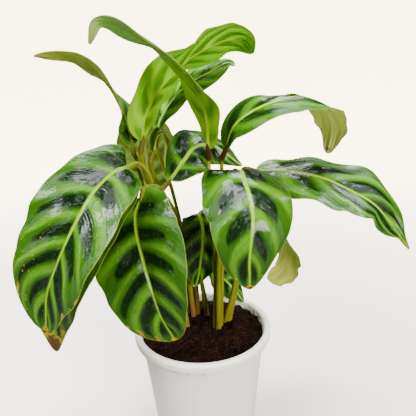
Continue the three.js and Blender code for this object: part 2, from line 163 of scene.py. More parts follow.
LEAVES = (
    grow(
        "front_left", "left_front", foot=(-19, 11),
        stalk=((-24, 10, 160), (-34, 6, 215), (-38, 7, 248), (-42, 6, 262)),
        width=0.084, rise=0.4, taper=0.48, wave=0.0012, waves=3.3, bands=7, point=0.25, halves=(0.95, 0.97),
        specks=1.0,
        scorches=(
            (0.8, -1, 0.005, 0.45), (0.88, -1, 0.006, 0.55), (0.7, -1, 0.004, 0.4),
            (0.74, 1, 0.005, 0.4), (0.84, 1, 0.006, 0.5), (0.99, 0, 0.005, 0.6),
        ),
        rows=(
            (-56, -5, 268, 0.3, -0.5, 0.8, 8, 10), (-65, -17, 267, 0.1, -0.55, 0.8, 8, 12),
            (-80, -35, 254, -0.1, -0.65, 0.7, 12, 16), (-94, -50, 231, -0.3, -0.78, 0.55, 14, 20),
            (-107, -58, 205, -0.42, -0.82, 0.4, 14, 20), (-117, -60, 182, -0.42, -0.88, 0.2, 14, 16),
            (-121, -62, 152, -0.42, -0.9, 0, 10, 10),
        ),
    ),
    grow(
        "under_left", "left_front", foot=(-23, 15), stalk=((-32, 17, 165), (-44, 21, 222), (-50, 25, 245)),
        width=0.084, rise=0.42, taper=0.62, wave=0.0012, bands=7, point=0.4,
        scorches=((1, 0, 0.026, 1.3), (0.9, -1, 0.009, 0.55), (0.82, 1, 0.006, 0.4)),
        rows=(
            (-60, 15, 263, 0.1, -0.7, 0.7, 0, 10), (-68, 7, 267, 0, -0.75, 0.65, 0, 10),
            (-80, -8, 256, -0.1, -0.75, 0.6, 3, 15), (-94, -21, 230, -0.3, -0.75, 0.55, 8, 20),
            (-109, -32, 200, -0.4, -0.8, 0.4, 12, 20), (-121, -38, 165, -0.45, -0.85, 0.2, 14, 15),
            (-125, -40, 118, -0.45, -0.85, 0, 10, 10),
        ),
    ),
    grow(
        "front_middle", "left_front", foot=(-15, 7), stalk=((-20, 6, 150), (-30, 1, 200), (-38, 2, 237)),
        width=0.08, rise=0.42, taper=0.6, bands=6, lobes=(0.002, 0.015),
        scorches=(
            (0.88, 1, 0.006, 0.75), (0.95, 0.9, 0.005, 0.42), (1, 0, 0.005, 0.55),
            (0.8, 1, 0.004, 0.35),
        ),
        rows=(
            (-47, -9, 241, -0.45, -0.6, 0.65, 5, 10), (-50, -20, 232, -0.45, -0.72, 0.55, 2, 20),
            (-49, -29, 218, -0.35, -0.8, 0.5, 5, 22), (-44, -40, 200, -0.28, -0.9, 0.4, 12, 22),
            (-38, -48, 178, -0.28, -0.95, 0.25, 18, 18), (-31, -53, 155, -0.28, -0.97, 0.1, 18, 14),
            (-21, -54, 134, -0.28, -0.97, 0, 10, 10),
        ),
    ),
    grow(
        "front_right", "front", foot=(15, 1), stalk=((17, 3, 178), (24, 12, 225), (31, 16, 250)),
        width=0.073, rise=0.43, taper=0.72, wave=0.0008, bands=4, sweep=0.32, lobes=(0.014, 0.002),
        scorches=(
            (0.47, 0, 0.003, 0.7), (1, 0, 0.006, 0.95), (0.94, 1, 0.004, 0.4),
            (0.94, -1, 0.004, 0.4),
        ),
        rows=(
            (35, 3, 260, 0.1, -0.1, 1, 5, 10), (37, -8, 263, 0.15, -0.35, 0.95, -7, 10),
            (39, -26, 257, 0.15, -0.55, 0.85, -10, 15), (41, -42, 249, 0.08, -0.65, 0.75, -14, 20),
            (42, -56, 237, 0.1, -0.85, 0.5, -20, 25), (40, -62, 221, 0.1, -0.97, 0.15, -18, 25),
            (38.5, -63, 205, 0.1, -1, 0, -15, 20), (39, -60, 181, 0.1, -1, -0.1, -8, 10),
        ),
    ),
    grow(
        "right", "right", foot=(22, 11), stalk=((32, 12, 150), (38, 18, 200), (37, 21, 240)),
        width=0.066, rise=0.48, taper=0.72, wave=0.0024, waves=3.4, point=0.4, sweep=0.42,
        notches=((0.55, 0, 0.12, 0.03), (0.7, 0, 0.2, 0.03), (0.9, 0, 0.25, 0.03)),
        scorches=((1, 0, 0.005, 0.8),),
        rows=(
            (52, 16, 257, -0.1, -0.25, 0.95, 5, 5), (77, 6, 258, 0, -0.35, 0.95, -8, 15),
            (102, -4, 254, 0.13, -0.4, 0.9, -5, 20), (124, -12, 245, 0.25, -0.48, 0.83, 5, 15),
            (145, -18, 233, 0.3, -0.56, 0.77, 8, 15), (160, -22, 216, 0.5, -0.58, 0.6, 8, 15),
            (175, -26, 195, 0.6, -0.55, 0.55, 5, 10),
        ),
    ),
    grow(
        "upper_right", "front", foot=(17, 5), stalk=((20, 8, 178), (21, 12, 225), (22, 12, 262)),
        width=0.052, rise=0.52, taper=0.58, wave=0.0012, point=0.3, sweep=0.4, ragged=0.05,
        age=Age.FRESH, joint_brown=1,
        scorches=((0.9, -1, 0.005, 0.4), (0.97, 0, 0.004, 0.4)),
        rows=(
            (26, 8, 279, -0.8, -0.4, 0.3, 15, 5), (33, 4, 297, -0.85, -0.4, 0.45, 8, 10),
            (46, -3, 309, -0.6, -0.35, 0.75, 0, 15), (64, -6, 317, -0.15, -0.25, 0.95, -8, 15),
            (87, -3, 320, 0.15, -0.12, 0.95, -8, 15), (104, 4, 311, 0.6, 0.2, 0.7, 0, 10),
            (116, 11, 292, 0.8, 0.55, 0.1, 0, 10), (114, 14, 270, 0.75, 0.65, -0.2, 0, 10),
        ),
    ),
    grow(
        "tall", "front", foot=(12, 5), stalk=((14, 7, 178), (12, 7, 225), (11, 5, 258)),
        width=0.046, taper=0.55, wave=0.0012, waves=3.5, bands=7, point=0.6, halves=(1, 0.8),
        age=Age.PALE, joint_brown=1,
        rows=(
            (11, 4, 280, 0.85, 0.5, 0.1, 15, 5), (11, -2, 300, 0.75, 0.6, 0.2, 5, 10),
            (8, -12, 318, 0.7, 0.5, 0.4, 0, 10), (-1, -24, 335, 0.68, 0.25, 0.62, 0, 10),
            (-13, -35, 349, 0.65, 0.1, 0.7, 0, 10), (-25, -43, 360, 0.5, 0.14, 0.8, -3, 10),
            (-44, -49, 372, 0.2, 0.22, 0.9, -5, 10), (-59, -51, 375, -0.2, 0.42, 0.85, 0, 10),
            (-66, -52, 362, -0.7, 0.5, 0.5, 0, 5),
        ),
    ),
    grow(
        "upper_left", "left_back", foot=(-25, 28), stalk=((-30, 32, 170), (-38, 38, 222), (-42, 37, 250)),
        width=0.038, taper=0.7, bands=6, point=0.3, age=Age.OLIVE, joint_brown=0.5,
        rows=(
            (-54, 15, 283, 0.75, -0.6, 0.3, 12, 5), (-56, 8, 303, 0.75, -0.5, 0.4, 8, 10),
            (-60, 1, 321, 0.75, 0, 0.6, 0, 10), (-66, -6, 335, 0.6, 0.15, 0.75, 0, 10),
            (-78, -12, 348, 0.35, 0.3, 0.85, 0, 10), (-92, -16, 356, 0.15, 0.37, 0.9, 0, 10),
            (-115, -20, 357, -0.1, 0.45, 0.9, 0, 5),
        ),
    ),
    grow(
        "top", "left_back", foot=(-21, 26), stalk=((-26, 24, 165), (-38, 19, 228), (-45, 16, 256)),
        width=0.072, taper=0.62, wave=0.0016, waves=3.5, bands=7, sweep=0.3, ragged=0.015,
        age=Age.TENDER, joint_brown=0.55,
        rows=(
            (-45, 12, 287, -0.9, 0.3, 0.2, 10, 5), (-42, 15, 306, -0.9, 0.35, 0.3, 6, 10),
            (-29, 23, 328, -0.8, 0.35, 0.5, 5, 15), (-10, 34, 346, -0.6, 0.22, 0.7, 0, 15),
            (2, 40, 355, -0.4, 0.24, 0.8, 0, 15), (28, 47, 366, -0.15, 0.5, 0.85, 0, 10),
            (45, 49, 365, 0.2, 0.45, 0.8, 0, 10), (54, 48, 355, 0.5, 0.5, 0.7, 0, 5),
        ),
    ),
    grow(
        "behind_top", "middle", foot=(-8, 32), stalk=((-15, 38, 180), (-25, 44, 235), (-34, 48, 264)),
        width=0.054, taper=0.7, point=0.4, age=Age.TENDER,
        rows=(
            (-35, 52, 288, -0.8, -0.35, 0.3, 5, 5), (-32, 54, 300, -0.75, -0.35, 0.5, 3, 5),
            (-16, 60, 321, -0.6, -0.35, 0.7, 0, 10), (0, 64, 333, -0.45, -0.42, 0.8, 0, 10),
            (17, 66, 341, -0.3, -0.52, 0.8, 0, 10), (32, 68, 348, -0.2, -0.5, 0.85, 0, 10),
            (39, 68, 345, 0, -0.5, 0.85, 0, 5),
        ),
    ),
    grow(
        "small_dark", "middle", foot=(-9, 24), stalk=((-13, 22, 160), (-18, 14, 210), (-24, -2, 236)),
        width=0.042, rise=0.48, taper=0.8, wave=0.0008, waves=2.5, point=0.3, joint_brown=0.7,
        rows=(
            (-22, -6, 256, -0.4, -0.5, 0.7, -10, 5), (-16, 0, 263, -0.35, -0.55, 0.77, -12, 10),
            (-9, 8, 271, -0.05, -0.7, 0.7, -15, 10), (-2, 17, 278, 0.25, -0.8, 0.5, -13, 10),
            (8, 25, 280, 0.4, -0.7, 0.6, -20, 10), (19, 30, 276, 0.5, -0.7, 0.5, -25, 10),
            (42, 35, 257, 0.5, -0.8, 0.3, -20, 5),
        ),
    ),
    grow(
        "hanging", "middle", foot=(-5, 28), stalk=((-6, 33, 150), (-9, 35, 190)),
        width=0.046, rise=0.42, taper=0.66, waves=2.5, point=0.3,
        rows=(
            (-4, 23, 213, 0.3, -0.4, 0.85, 0, 5), (0, 18, 218, 0.4, -0.6, 0.7, 0, 10),
            (3, 14, 208, 0.4, -0.9, 0.25, 0, 15), (3, 11, 195, 0.4, -0.9, 0.15, 0, 15),
            (1, 10, 178, 0.4, -0.9, 0.1, 0, 15), (-1, 10, 165, 0.4, -0.9, 0.1, 0, 15),
            (-5, 12, 148, 0.4, -0.9, 0, 0, 10),
        ),
    ),
    grow(
        "lower_right", "right", foot=(26, 15), stalk=((35, 19, 150), (44, 26, 195), (47, 26, 222)),
        width=0.042, rise=0.55, taper=0.5, wave=0.0012, waves=2.5, bands=4, halves=(1, 0.6), ragged=0.05,
        age=Age.OLIVE,
        scorches=((0.9, 1, 0.005, 0.6),),
        rows=(
            (59, 28, 221, 0.3, -0.3, 0.9, 5, 5), (71, 34, 210, 0.6, -0.25, 0.7, 0, 10),
            (79, 40, 195, 0.9, -0.15, 0.4, 0, 10), (84, 42, 179, 0.93, 0.1, 0.2, 0, 10),
            (86, 42, 163, 0.8, 0.5, -0.1, 0, 10), (81, 42, 147, 0.6, 0.7, -0.4, 0, 10),
            (67, 42, 137, 0.4, 0.7, -0.6, 0, 5),
        ),
    ),
    grow(
        "back", "left_back", foot=(-23, 32), stalk=((-30, 41, 180), (-38, 48, 212)),
        # painted shade: the back leaf takes the darker, duller greens, as it sits in shadow behind the stems
        width=0.062, rise=0.45, taper=0.5, waves=2.5, bands=6, age=Age.OLD,
        rows=(
            (-45, 56, 231, 0, 0.9, 0.2, 8, 5), (-49, 68, 255, 0, 0.9, 0.35, 5, 10),
            (-52, 78, 279, 0, 0.9, 0.35, 5, 15), (-53, 86, 305, 0, 0.9, 0.3, 5, 10),
        ),
    ),
    grow(
        "small_upright", "middle", foot=(-12, 28), stalk=((-17, 28, 160), (-29, 23, 215), (-36, 18, 248)),
        width=0.015, taper=0.8, wave=0.0004, waves=2, bands=3, age=Age.OLIVE, joint_brown=0.4,
        rows=(
            (-37, 17, 277, -0.8, -0.5, 0.2, 20, 5), (-34.5, 20, 288, -0.7, -0.5, 0.5, 15, 5),
            (-29.5, 25, 293, 0.2, -0.3, 0.9, 5, 10), (-26, 29, 288, 0.8, 0.3, 0.4, 0, 10),
            (-25, 32, 274, 0.85, 0.5, 0.1, 0, 10), (-27, 33, 257, 0.85, 0.5, 0, 0, 10),
            (-27, 33, 242, 0.85, 0.5, 0, 0, 5),
        ),
    ),
    grow(
        "low_back", "low", foot=(4, 24), stalk=((1, 23, 140), (-3, 25, 160)),
        width=0.04, taper=0.8, wave=0.0008, waves=2, bands=4, point=0.3,
        rows=(
            (3, 30, 164, 0.3, -0.3, 0.9, 5, 5), (12, 34, 154, 0.5, -0.4, 0.75, 0, 10),
            (24, 37, 140, 0.6, -0.5, 0.6, 0, 10), (34, 36, 128, 0.6, -0.5, 0.6, 0, 10),
            (42, 34, 116.5, 0.6, -0.5, 0.6, 0, 5),
        ),
    ),
)


# Shapes
def unit(vectors: Array) -> Array:
    """Gives the vectors a length of one."""
    return vectors / np.linalg.norm(vectors, axis=-1, keepdims=True)


def ease(values: Array, low: float, high: float) -> Array:
    """Rises smoothly from 0 at low to 1 at high."""
    share = np.clip((values - low) / (high - low), 0, 1)
    return share * share * (3 - 2 * share)


class Spline:
    """A smooth line through given places, the same one that the part's source draws."""

    def __init__(self, places: list) -> None:
        """Keeps the places, with one more before the first and after the last.

        Args:
            places: the places that the line passes through.
        """
        ends = np.array(places, float)
        self.knots = np.vstack([2 * ends[0] - ends[1], ends, 2 * ends[-1] - ends[-2]])
        steps = np.linalg.norm(np.diff(self.at(np.linspace(0, 1, 201)), axis=0), axis=1)
        self.lengths = np.concatenate([[0], np.cumsum(steps)])

    @property
    def length(self) -> float:
        """The line's length."""
        return float(self.lengths[-1])

    def at(self, share: Array) -> Array:
        """Finds places on the line.

        Args:
            share: numbers from 0 at the first place to 1 at the last.

        Returns:
            One place for each number.
        """
        spans = len(self.knots) - 3
        where = np.clip(share, 0, 1) * spans
        first = np.minimum(where.astype(int), spans - 1)
        step = (where - first)[:, None]
        before, start, end, after = (self.knots[first + i] for i in range(4))
        leave, reach = (end - before) / 2, (after - start) / 2
        square = (3 * (end - start) - 2 * leave - reach) * step**2
        return start + leave * step + square + (2 * (start - end) + leave + reach) * step**3

    def share_of(self, along: Array) -> Array:
        """Turns fractions of the line's length into the numbers that at() reads."""
        return np.interp(np.asarray(along) * self.length, self.lengths, np.linspace(0, 1, 201))

    def ahead(self, share: Array) -> Array:
        """Gives the line's direction at those numbers."""
        return unit(self.at(share + 1e-4) - self.at(share - 1e-4))


def start_fresh() -> None:
    """Deselects everything, so that the next operator touches only the new piece."""
    bpy.ops.object.select_all(action="DESELECT")


def take(*pieces: Piece) -> Piece:
    """Selects these pieces alone and makes the first one active."""
    start_fresh()
    for piece in pieces:
        piece.select_set(True)
    bpy.context.view_layer.objects.active = pieces[0]
    return pieces[0]


def named(name: str) -> Piece:
    """Names the active piece and its mesh."""
    piece = bpy.context.object
    piece.name = piece.data.name = name
    return piece


def positions(piece: Piece) -> Array:
    """Reads a piece's vertices as rows of x, y and z."""
    flat = np.empty(len(piece.data.vertices) * 3)
    piece.data.vertices.foreach_get("co", flat)
    return flat.reshape(-1, 3)


def set_positions(piece: Piece, places: Array) -> None:
    """Writes a piece's vertices, kept inside the solid model's box.

    Args:
        piece: the piece whose vertices move.
        places: one row of x, y and z for each vertex.
    """
    low, high = (np.array(corner) for corner in CAD_BOX)
    piece.data.vertices.foreach_set("co", np.clip(places, low, high).ravel())
    piece.data.update()


def grid(name: str, columns: int, rows: int) -> tuple[Piece, Array, Array]:
    """Adds a flat grid to be shaped.

    Args:
        name: the piece's name.
        columns: how many faces it has along x.
        rows: how many faces it has along y.

    Returns:
        The piece, and each vertex's column and row.
    """
    start_fresh()
    bpy.ops.mesh.primitive_grid_add(x_subdivisions=columns, y_subdivisions=rows, size=1)
    piece = named(name)
    flat = positions(piece)
    column = np.rint((flat[:, 0] + 0.5) * columns).astype(int)
    row = np.rint((flat[:, 1] + 0.5) * rows).astype(int)
    return piece, column, row


def note(piece: Piece, name: str, values: Array) -> None:
    """Stores a vector at each vertex for the materials to read.

    Args:
        piece: the piece that carries the values.
        name: the attribute's name.
        values: one row of three numbers for each vertex.
    """
    attribute = piece.data.attributes.new(name, "FLOAT_VECTOR", "POINT")
    attribute.data.foreach_set("vector", np.asarray(values, np.float32).ravel())


def apply_all(piece: Piece) -> None:
    """Applies every modifier of a piece."""
    take(piece)
    for modifier in list(piece.modifiers):
        bpy.ops.object.modifier_apply(modifier=modifier.name)


def smooth(piece: Piece, degrees: float = 60) -> None:
    """Shades a piece smooth, with edges sharper than the angle left crisp."""
    take(piece)
    bpy.ops.object.shade_smooth_by_angle(angle=math.radians(degrees))


def close_up(merge: float = 0.0) -> None:
    """Closes the active piece's open edges with faces and turns all its faces outwards.

    Args:
        merge: the distance within which vertices are merged first, if any are.
    """
    bpy.ops.object.mode_set(mode="EDIT")
    bpy.ops.mesh.select_all(action="SELECT")
    if merge:
        bpy.ops.mesh.remove_doubles(threshold=merge)
    bpy.ops.mesh.select_all(action="DESELECT")
    bpy.ops.mesh.select_non_manifold()
    bpy.ops.mesh.edge_face_add()
    bpy.ops.mesh.select_all(action="SELECT")
    bpy.ops.mesh.normals_make_consistent(inside=False)
    bpy.ops.object.mode_set(mode="OBJECT")


def turned(name: str, profile: list[tuple[float, float]], sides: int) -> Piece:
    """Turns a closed round piece, drawing a disc along its profile ring by ring.

    Args:
        name: the piece's name.
        profile: the radius and height of each ring.
        sides: how many faces go round.

    Returns:
        The piece.
    """
    start_fresh()
    radius, height = profile[0]
    bpy.ops.mesh.primitive_circle_add(vertices=sides, radius=radius, fill_type="NGON")
    piece = named(name)
    bpy.ops.object.mode_set(mode="EDIT")
    bpy.ops.mesh.select_all(action="SELECT")
    bpy.ops.transform.translate(value=(0, 0, height))
    for (wide, low), (next_wide, next_low) in zip(profile, profile[1:]):
        rise = {"value": (0, 0, next_low - low)}
        bpy.ops.mesh.extrude_region_move(TRANSFORM_OT_translate=rise)
        size = next_wide / wide
        bpy.ops.transform.resize(value=(size, size, 1), center_override=(0, 0, next_low))
    bpy.ops.mesh.select_all(action="SELECT")
    bpy.ops.mesh.normals_make_consistent(inside=False)
    bpy.ops.object.mode_set(mode="OBJECT")
    return piece


def strewn(name: str, template: Piece, spots: list[Matrix]) -> Piece:
    """Copies a small template to many spots, each copy with its own mesh, and joins them.

    Args:
        name: the joined piece's name.
        template: the shape to copy, which is removed.
        spots: where each copy goes, and how it is turned and sized.

    Returns:
        The joined piece.
    """
    copies = []
    for spot in spots:
        copy = template.copy()
        copy.data = template.data.copy()
        copy.data.transform(spot)
        bpy.context.scene.collection.objects.link(copy)
        copies.append(copy)
    bpy.data.objects.remove(template)
    take(*copies)
    bpy.ops.object.join()
    return named(name)


def settle(piece: Piece, slot: str, *nodes: str) -> None:
    """Fixes a finished piece to the frame.

    Args:
        piece: the finished piece.
        slot: the record's material slot for the piece; not used.
        nodes: the solids that it stands for.
    """
    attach(piece, "root")
    if nodes:
        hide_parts(*nodes)
    LOG.info("%s: %d faces", piece.name, len(piece.data.polygons))


# Shader nodes
class Wiring:
    """Adds and links shader nodes in one tree. An input is a socket or a plain value."""

    def __init__(self, tree: bpy.types.NodeTree) -> None:
        """Keeps the tree to work in."""
        self.tree = tree

    def add(self, kind: str, inputs: dict | None = None, **settings) -> bpy.types.Node:
        """Adds one node.

        Args:
            kind: the node's type, without its ShaderNode.
            inputs: sockets or values by the input's name or number.
            settings: the node's own options.

        Returns:
            The node.
        """
        node = self.tree.nodes.new("ShaderNode" + kind)
        for option, value in settings.items():
            setattr(node, option, value)
        for key, value in (inputs or {}).items():
            if isinstance(value, Socket):
                self.tree.links.new(value, node.inputs[key])
            else:
                node.inputs[key].default_value = value
        return node

    def math(self, operation: str, first: object, second: object = 0.0, clamp: bool = False) -> Socket:
        """Adds a Math node and gives its result."""
        return self.add("Math", {0: first, 1: second}, operation=operation, use_clamp=clamp).outputs[0]

    def times(self, first: object, second: object, clamp: bool = False) -> Socket:
        """Multiplies two values."""
        return self.math("MULTIPLY", first, second, clamp)

    def plus(self, first: object, second: object, clamp: bool = False) -> Socket:
        """Adds two values."""
        return self.math("ADD", first, second, clamp)

    def minus(self, first: object, second: object) -> Socket:
        """Takes the second value from the first."""
        return self.math("SUBTRACT", first, second)

    def from_axis(self, x: Socket, y: Socket) -> Socket:
        """Gives the distance from the pot's axis."""
        return self.math("SQRT", self.plus(self.times(x, x), self.times(y, y)))

    def ramp(self, value: object, low: object, high: object, start: float = 0.0, end: float = 1.0) -> Socket:
        """Maps a value smoothly from the range low to high onto the range start to end."""
        inputs = {"Value": value, "From Min": low, "From Max": high, "To Min": start, "To Max": end}
        return self.add("MapRange", inputs, interpolation_type="SMOOTHSTEP").outputs[0]

    def mix(self, factor: object, first: object, second: object, blend: str = "MIX") -> Socket:
        """Mixes two colours, given as sockets or as red, green and blue."""
        first, second = (tuple(c) + (1,) if isinstance(c, tuple) else c for c in (first, second))
        inputs = {0: factor, 6: first, 7: second}
        return self.add("Mix", inputs, data_type="RGBA", blend_type=blend).outputs[2]

    def noise(self, vector: object, scale: float, detail: float = 2.0, rough: float = 0.5) -> Socket:
        """Adds a noise texture and gives its value."""
        inputs = {"Vector": vector, "Scale": scale, "Detail": detail, "Roughness": rough}
        return self.add("TexNoise", inputs).outputs[0]

    def parts(self, vector: object) -> tuple[Socket, ...]:
        """Splits a vector into its three numbers."""
        return tuple(self.add("SeparateXYZ", {0: vector}).outputs)

    def vector(self, x: object, y: object, z: object) -> Socket:
        """Joins three numbers into a vector."""
        return self.add("CombineXYZ", {0: x, 1: y, 2: z}).outputs[0]

    def attribute(self, name: str) -> Socket:
        """Reads a vector that a piece carries."""
        return self.add("Attribute", attribute_name=name).outputs["Vector"]

    def place(self) -> Socket:
        """Gives the place in the piece's own frame."""
        return self.add("TexCoord").outputs["Object"]


def new_material(name: str) -> tuple[bpy.types.Material, Wiring, bpy.types.Node]:
    """Makes a material.

    Args:
        name: the material's name.

    Returns:
        The material, its wiring and its Principled shader.
    """
    material = bpy.data.materials.new(name)
    material.use_nodes = True
    tree = material.node_tree
    return material, Wiring(tree), tree.nodes["Principled BSDF"]


@dataclass
class Surface:
    """What feeds a Principled shader: its colour, roughness and bump, and how it takes light."""

    colour: Socket
    roughness: Socket
    height: Socket
    depth: float
    shine: float = 0.5
    through: float = 0.0
    radius: Colour = (1.0, 0.2, 0.1)

    def feed(self, w: Wiring, shader: bpy.types.Node) -> None:
        """Feeds a material's Principled shader."""
        bump = w.add("Bump", {"Height": self.height, "Distance": self.depth, "Strength": 1.0})
        feeds = {"Base Color": self.colour, "Roughness": self.roughness, "Normal": bump.outputs[0]}
        for name, value in feeds.items():
            w.tree.links.new(value, shader.inputs[name])
        shader.inputs["Specular IOR Level"].default_value = self.shine
        shader.inputs["Subsurface Weight"].default_value = self.through
        shader.inputs["Subsurface Radius"].default_value = self.radius
        if self.through:
            shader.inputs["Subsurface Scale"].default_value = 0.002


class Stripes:
    """The shader group that draws a blade's stripes and blemishes, for its upper side and underside alike.

    It reads what each blade notes: leaf (across, along and the side veins' count), reach (metres from the
    midrib, from the margin and along) and spots (how dried, how specked, and the leaf's seed).
    """

    notes: tuple[str, ...] = ("leaf", "reach", "spots")
    shift: float = 0.22
    feather: float = 0.17
    widths: Span = (0.75, 1.2)
    ends: Span = (0.64, 0.95)
    rib_half: Span = (0.0017, 0.0007)
    edge: Span = (0.0008, 0.0003)

    def __init__(self) -> None:
        """Makes the group."""
        self.tree = bpy.data.node_groups.new("zebra stripes", "ShaderNodeTree")
        for name in self.notes:
            self.tree.interface.new_socket(name, in_out="INPUT", socket_type="NodeSocketVector")
        self.tree.interface.new_socket("dark width", in_out="INPUT", socket_type="NodeSocketFloat")
        enter = self.tree.nodes.new("NodeGroupInput")
        self.w = w = Wiring(self.tree)
        self.across, self.along, self.vein = w.parts(enter.outputs["leaf"])
        self.reach = enter.outputs["reach"]
        self.scorch, self.specks, self.seed = w.parts(enter.outputs["spots"])
        self.side = w.math("SIGN", self.across)
        self.half = w.plus(w.times(self.side, 3.7), self.seed)
        masks = self.bands(enter.outputs["dark width"])
        masks |= self.blemishes(masks["Margin"])
        for name in masks:
            self.tree.interface.new_socket(name, in_out="OUTPUT", socket_type="NodeSocketFloat")
        leave = self.tree.nodes.new("NodeGroupOutput")
        for name, value in masks.items():
            self.tree.links.new(value, leave.inputs[name])

    def streaks(self, out: Socket, spread: float, over: float, detail: float = 3.0, rough: float = 0.5) -> Socket:
        """Adds noise along the side veins, with its scales out from the midrib and over the veins."""
        w = self.w
        return w.noise(w.vector(w.times(out, spread), w.times(self.vein, over), self.half), 1.0, detail, rough)

    def bands(self, dark_width: Socket) -> dict[str, Socket]:
        """Draws the dark bands, the light between them, the midrib and the margin.

        Args:
            dark_width: how much of each band is dark.

        Returns:
            The masks by name.
        """
        w, along = self.w, self.along
        out = w.math("ABSOLUTE", self.across)
        from_rib, to_margin, _ = w.parts(self.reach)
        cell = w.vector(w.math("FLOOR", self.vein), self.side, self.seed)
        dice = w.add("TexWhiteNoise", {"Vector": cell}, noise_dimensions="3D")
        roll_end, roll_width, roll_shift = w.parts(dice.outputs["Color"])

        streaks = self.streaks(out, 2.4, 5.0)
        shift = w.times(w.minus(roll_shift, 0.5), self.shift)
        centred = w.minus(w.plus(w.math("FRACT", self.vein), shift), 0.5)
        fray = w.times(w.minus(streaks, 0.5), w.plus(w.times(out, 0.55), 0.18))
        apart = w.plus(w.times(w.math("ABSOLUTE", centred), 2.0), fray)

        toward_end = w.math("DIVIDE", out, w.ramp(roll_end, 0.0, 1.0, *self.ends), clamp=True)
        rounding = w.math("SQRT", w.minus(1.0, w.math("POWER", toward_end, 2.6)))
        width = w.times(w.times(dark_width, w.ramp(roll_width, 0.0, 1.0, *self.widths)), rounding)
        dark = w.ramp(apart, w.plus(width, self.feather), w.minus(width, self.feather))
        for limit in (w.ramp(from_rib, 0.0008, 0.0026), w.ramp(toward_end, 1.0, 0.9), w.ramp(along, 0.99, 0.9)):
            dark = w.times(dark, limit)
        light = w.times(w.ramp(apart, 0.55, 1.0), w.ramp(out, 1.15, 0.75))

        rib_half = w.ramp(along, 0.0, 1.0, *self.rib_half)
        crumple = w.noise(w.vector(w.times(along, 26.0), self.half, 0.0), 1.0, 3.0)
        return {
            "Dark": dark,
            "Light": w.times(light, w.plus(streaks, 0.45), clamp=True),
            "Rib": w.ramp(w.math("DIVIDE", from_rib, rib_half), 1.35, 0.65),
            "Margin": w.ramp(w.math("DIVIDE", to_margin, w.plus(crumple, 0.2)), *self.edge),
            "Far": w.ramp(along, 0.42, 0.75),
        }

    def blemishes(self, margin: Socket) -> dict[str, Socket]:
        """Draws the dried places, the specks, the fine veins and the wet patches.

        Args:
            margin: the mask of the margin, whose last part is yellow.

        Returns:
            The masks by name.
        """
        w, reach = self.w, self.reach
        torn = w.times(w.minus(w.noise(reach, 210.0, 4.0, 0.7), 0.5), 1.6)
        dry = w.times(w.plus(self.scorch, torn, clamp=True), w.ramp(self.scorch, 0.02, 0.12))
        dry_edge = w.times(margin, w.ramp(self.along, 0.72, 0.95))
        pits = w.add("TexVoronoi", {"Vector": reach, "Scale": 260.0}, feature="F1").outputs["Distance"]
        pits = w.times(w.ramp(pits, 0.26, 0.14), w.ramp(w.noise(reach, 90.0, 1.0), 0.52, 0.6))
        return {
            "Yellow": w.math("MAXIMUM", w.ramp(dry, 0.12, 0.42), dry_edge),
            "Brown": w.ramp(dry, 0.4, 0.75),
            "Specks": w.times(pits, self.specks, clamp=True),
            "Mottle": w.noise(reach, 320.0, 3.0, 0.6),
            "Veins": w.ramp(self.streaks(self.across, 1.6, 15.0), 0.3, 0.7),
            "Wet": w.ramp(self.streaks(self.across, 2.6, 1.9, 5.0, 0.65), 0.43, 0.48),
        }

    def placed(self, wiring: Wiring, dark_width: float) -> dict[str, Socket]:
        """Places the group in a material.

        Args:
            wiring: the material's wiring.
            dark_width: how much of each band is dark.

        Returns:
            The masks by name.
        """
        node = wiring.add("Group", node_tree=self.tree)
        node.inputs["dark width"].default_value = dark_width
        for name in self.notes:
            wiring.tree.links.new(wiring.attribute(name), node.inputs[name])
        return {socket.name: socket for socket in node.outputs}


@dataclass(frozen=True)
class BladeFinish:
    """The greens and the gloss of one side of a leaf of one age."""

    dark: Colour
    middle: Colour
    light: Colour
    rib: Colour
    dark_width: float = 0.55
    roughness: float = 0.55
    shine: float = 0.08
    through: float = 0.35
    gleam: float = 1.0
    # painted sheen: how much grey-green is mixed in towards the tip, standing in for glare
    painted_sheen: float = 0.0
    sheen_grey: Colour = (0.24, 0.35, 0.17)
    edge: Colour = (0.16, 0.19, 0.03)
    dry_yellow: Colour = (0.38, 0.25, 0.012)
    dry_brown: Colour = (0.06, 0.032, 0.006)
    speck: Colour = (0.2, 0.16, 0.015)
    relief: float = 0.00025

    def material(self, name: str, stripes: Stripes) -> bpy.types.Material:
        """Makes the material of that side.

        Args:
            name: the material's name.
            stripes: the shared group that draws the stripes.

        Returns:
            The material.
        """
        made, w, shader = new_material(name)
        mask = stripes.placed(w, self.dark_width)
        colour = w.mix(mask["Light"], self.middle, self.light)
        colour = w.mix(mask["Dark"], colour, self.dark)
        colour = w.mix(w.ramp(mask["Veins"], 0.0, 1.0, 0.0, 0.35), colour, (0.75, 0.8, 0.6), "SOFT_LIGHT")
        layers = (
            (w.ramp(mask["Mottle"], 0.3, 0.8, 0.0, 0.22), self.middle),
            # painted sheen: the far part of the blade is greyed, standing in for the glare on the tall leaf's tip
            (w.times(mask["Far"], self.painted_sheen), self.sheen_grey),
            (mask["Rib"], self.rib),
            (mask["Margin"], self.edge),
            (w.times(mask["Yellow"], 0.85), self.dry_yellow),
            (mask["Brown"], self.dry_brown),
            (mask["Specks"], self.speck),
        )
        for share, tint in layers:
            colour = w.mix(share, colour, tint)
        roughness = w.ramp(mask["Wet"], 0.0, 1.0, 0.6, self.roughness)
        roughness = w.plus(roughness, w.times(mask["Brown"], 0.3))
        wet = w.times(w.noise(w.place(), 150.0, 3.0, 0.6), mask["Wet"])
        ridges = w.plus(w.times(mask["Veins"], 0.3), w.times(mask["Mottle"], 0.3))
        ridges = w.plus(ridges, w.times(wet, 1.5))
        depth = self.relief * self.gleam
        Surface(colour, roughness, ridges, depth, self.shine, self.through, (0.8, 1.0, 0.1)).feed(w, shader)
        return made


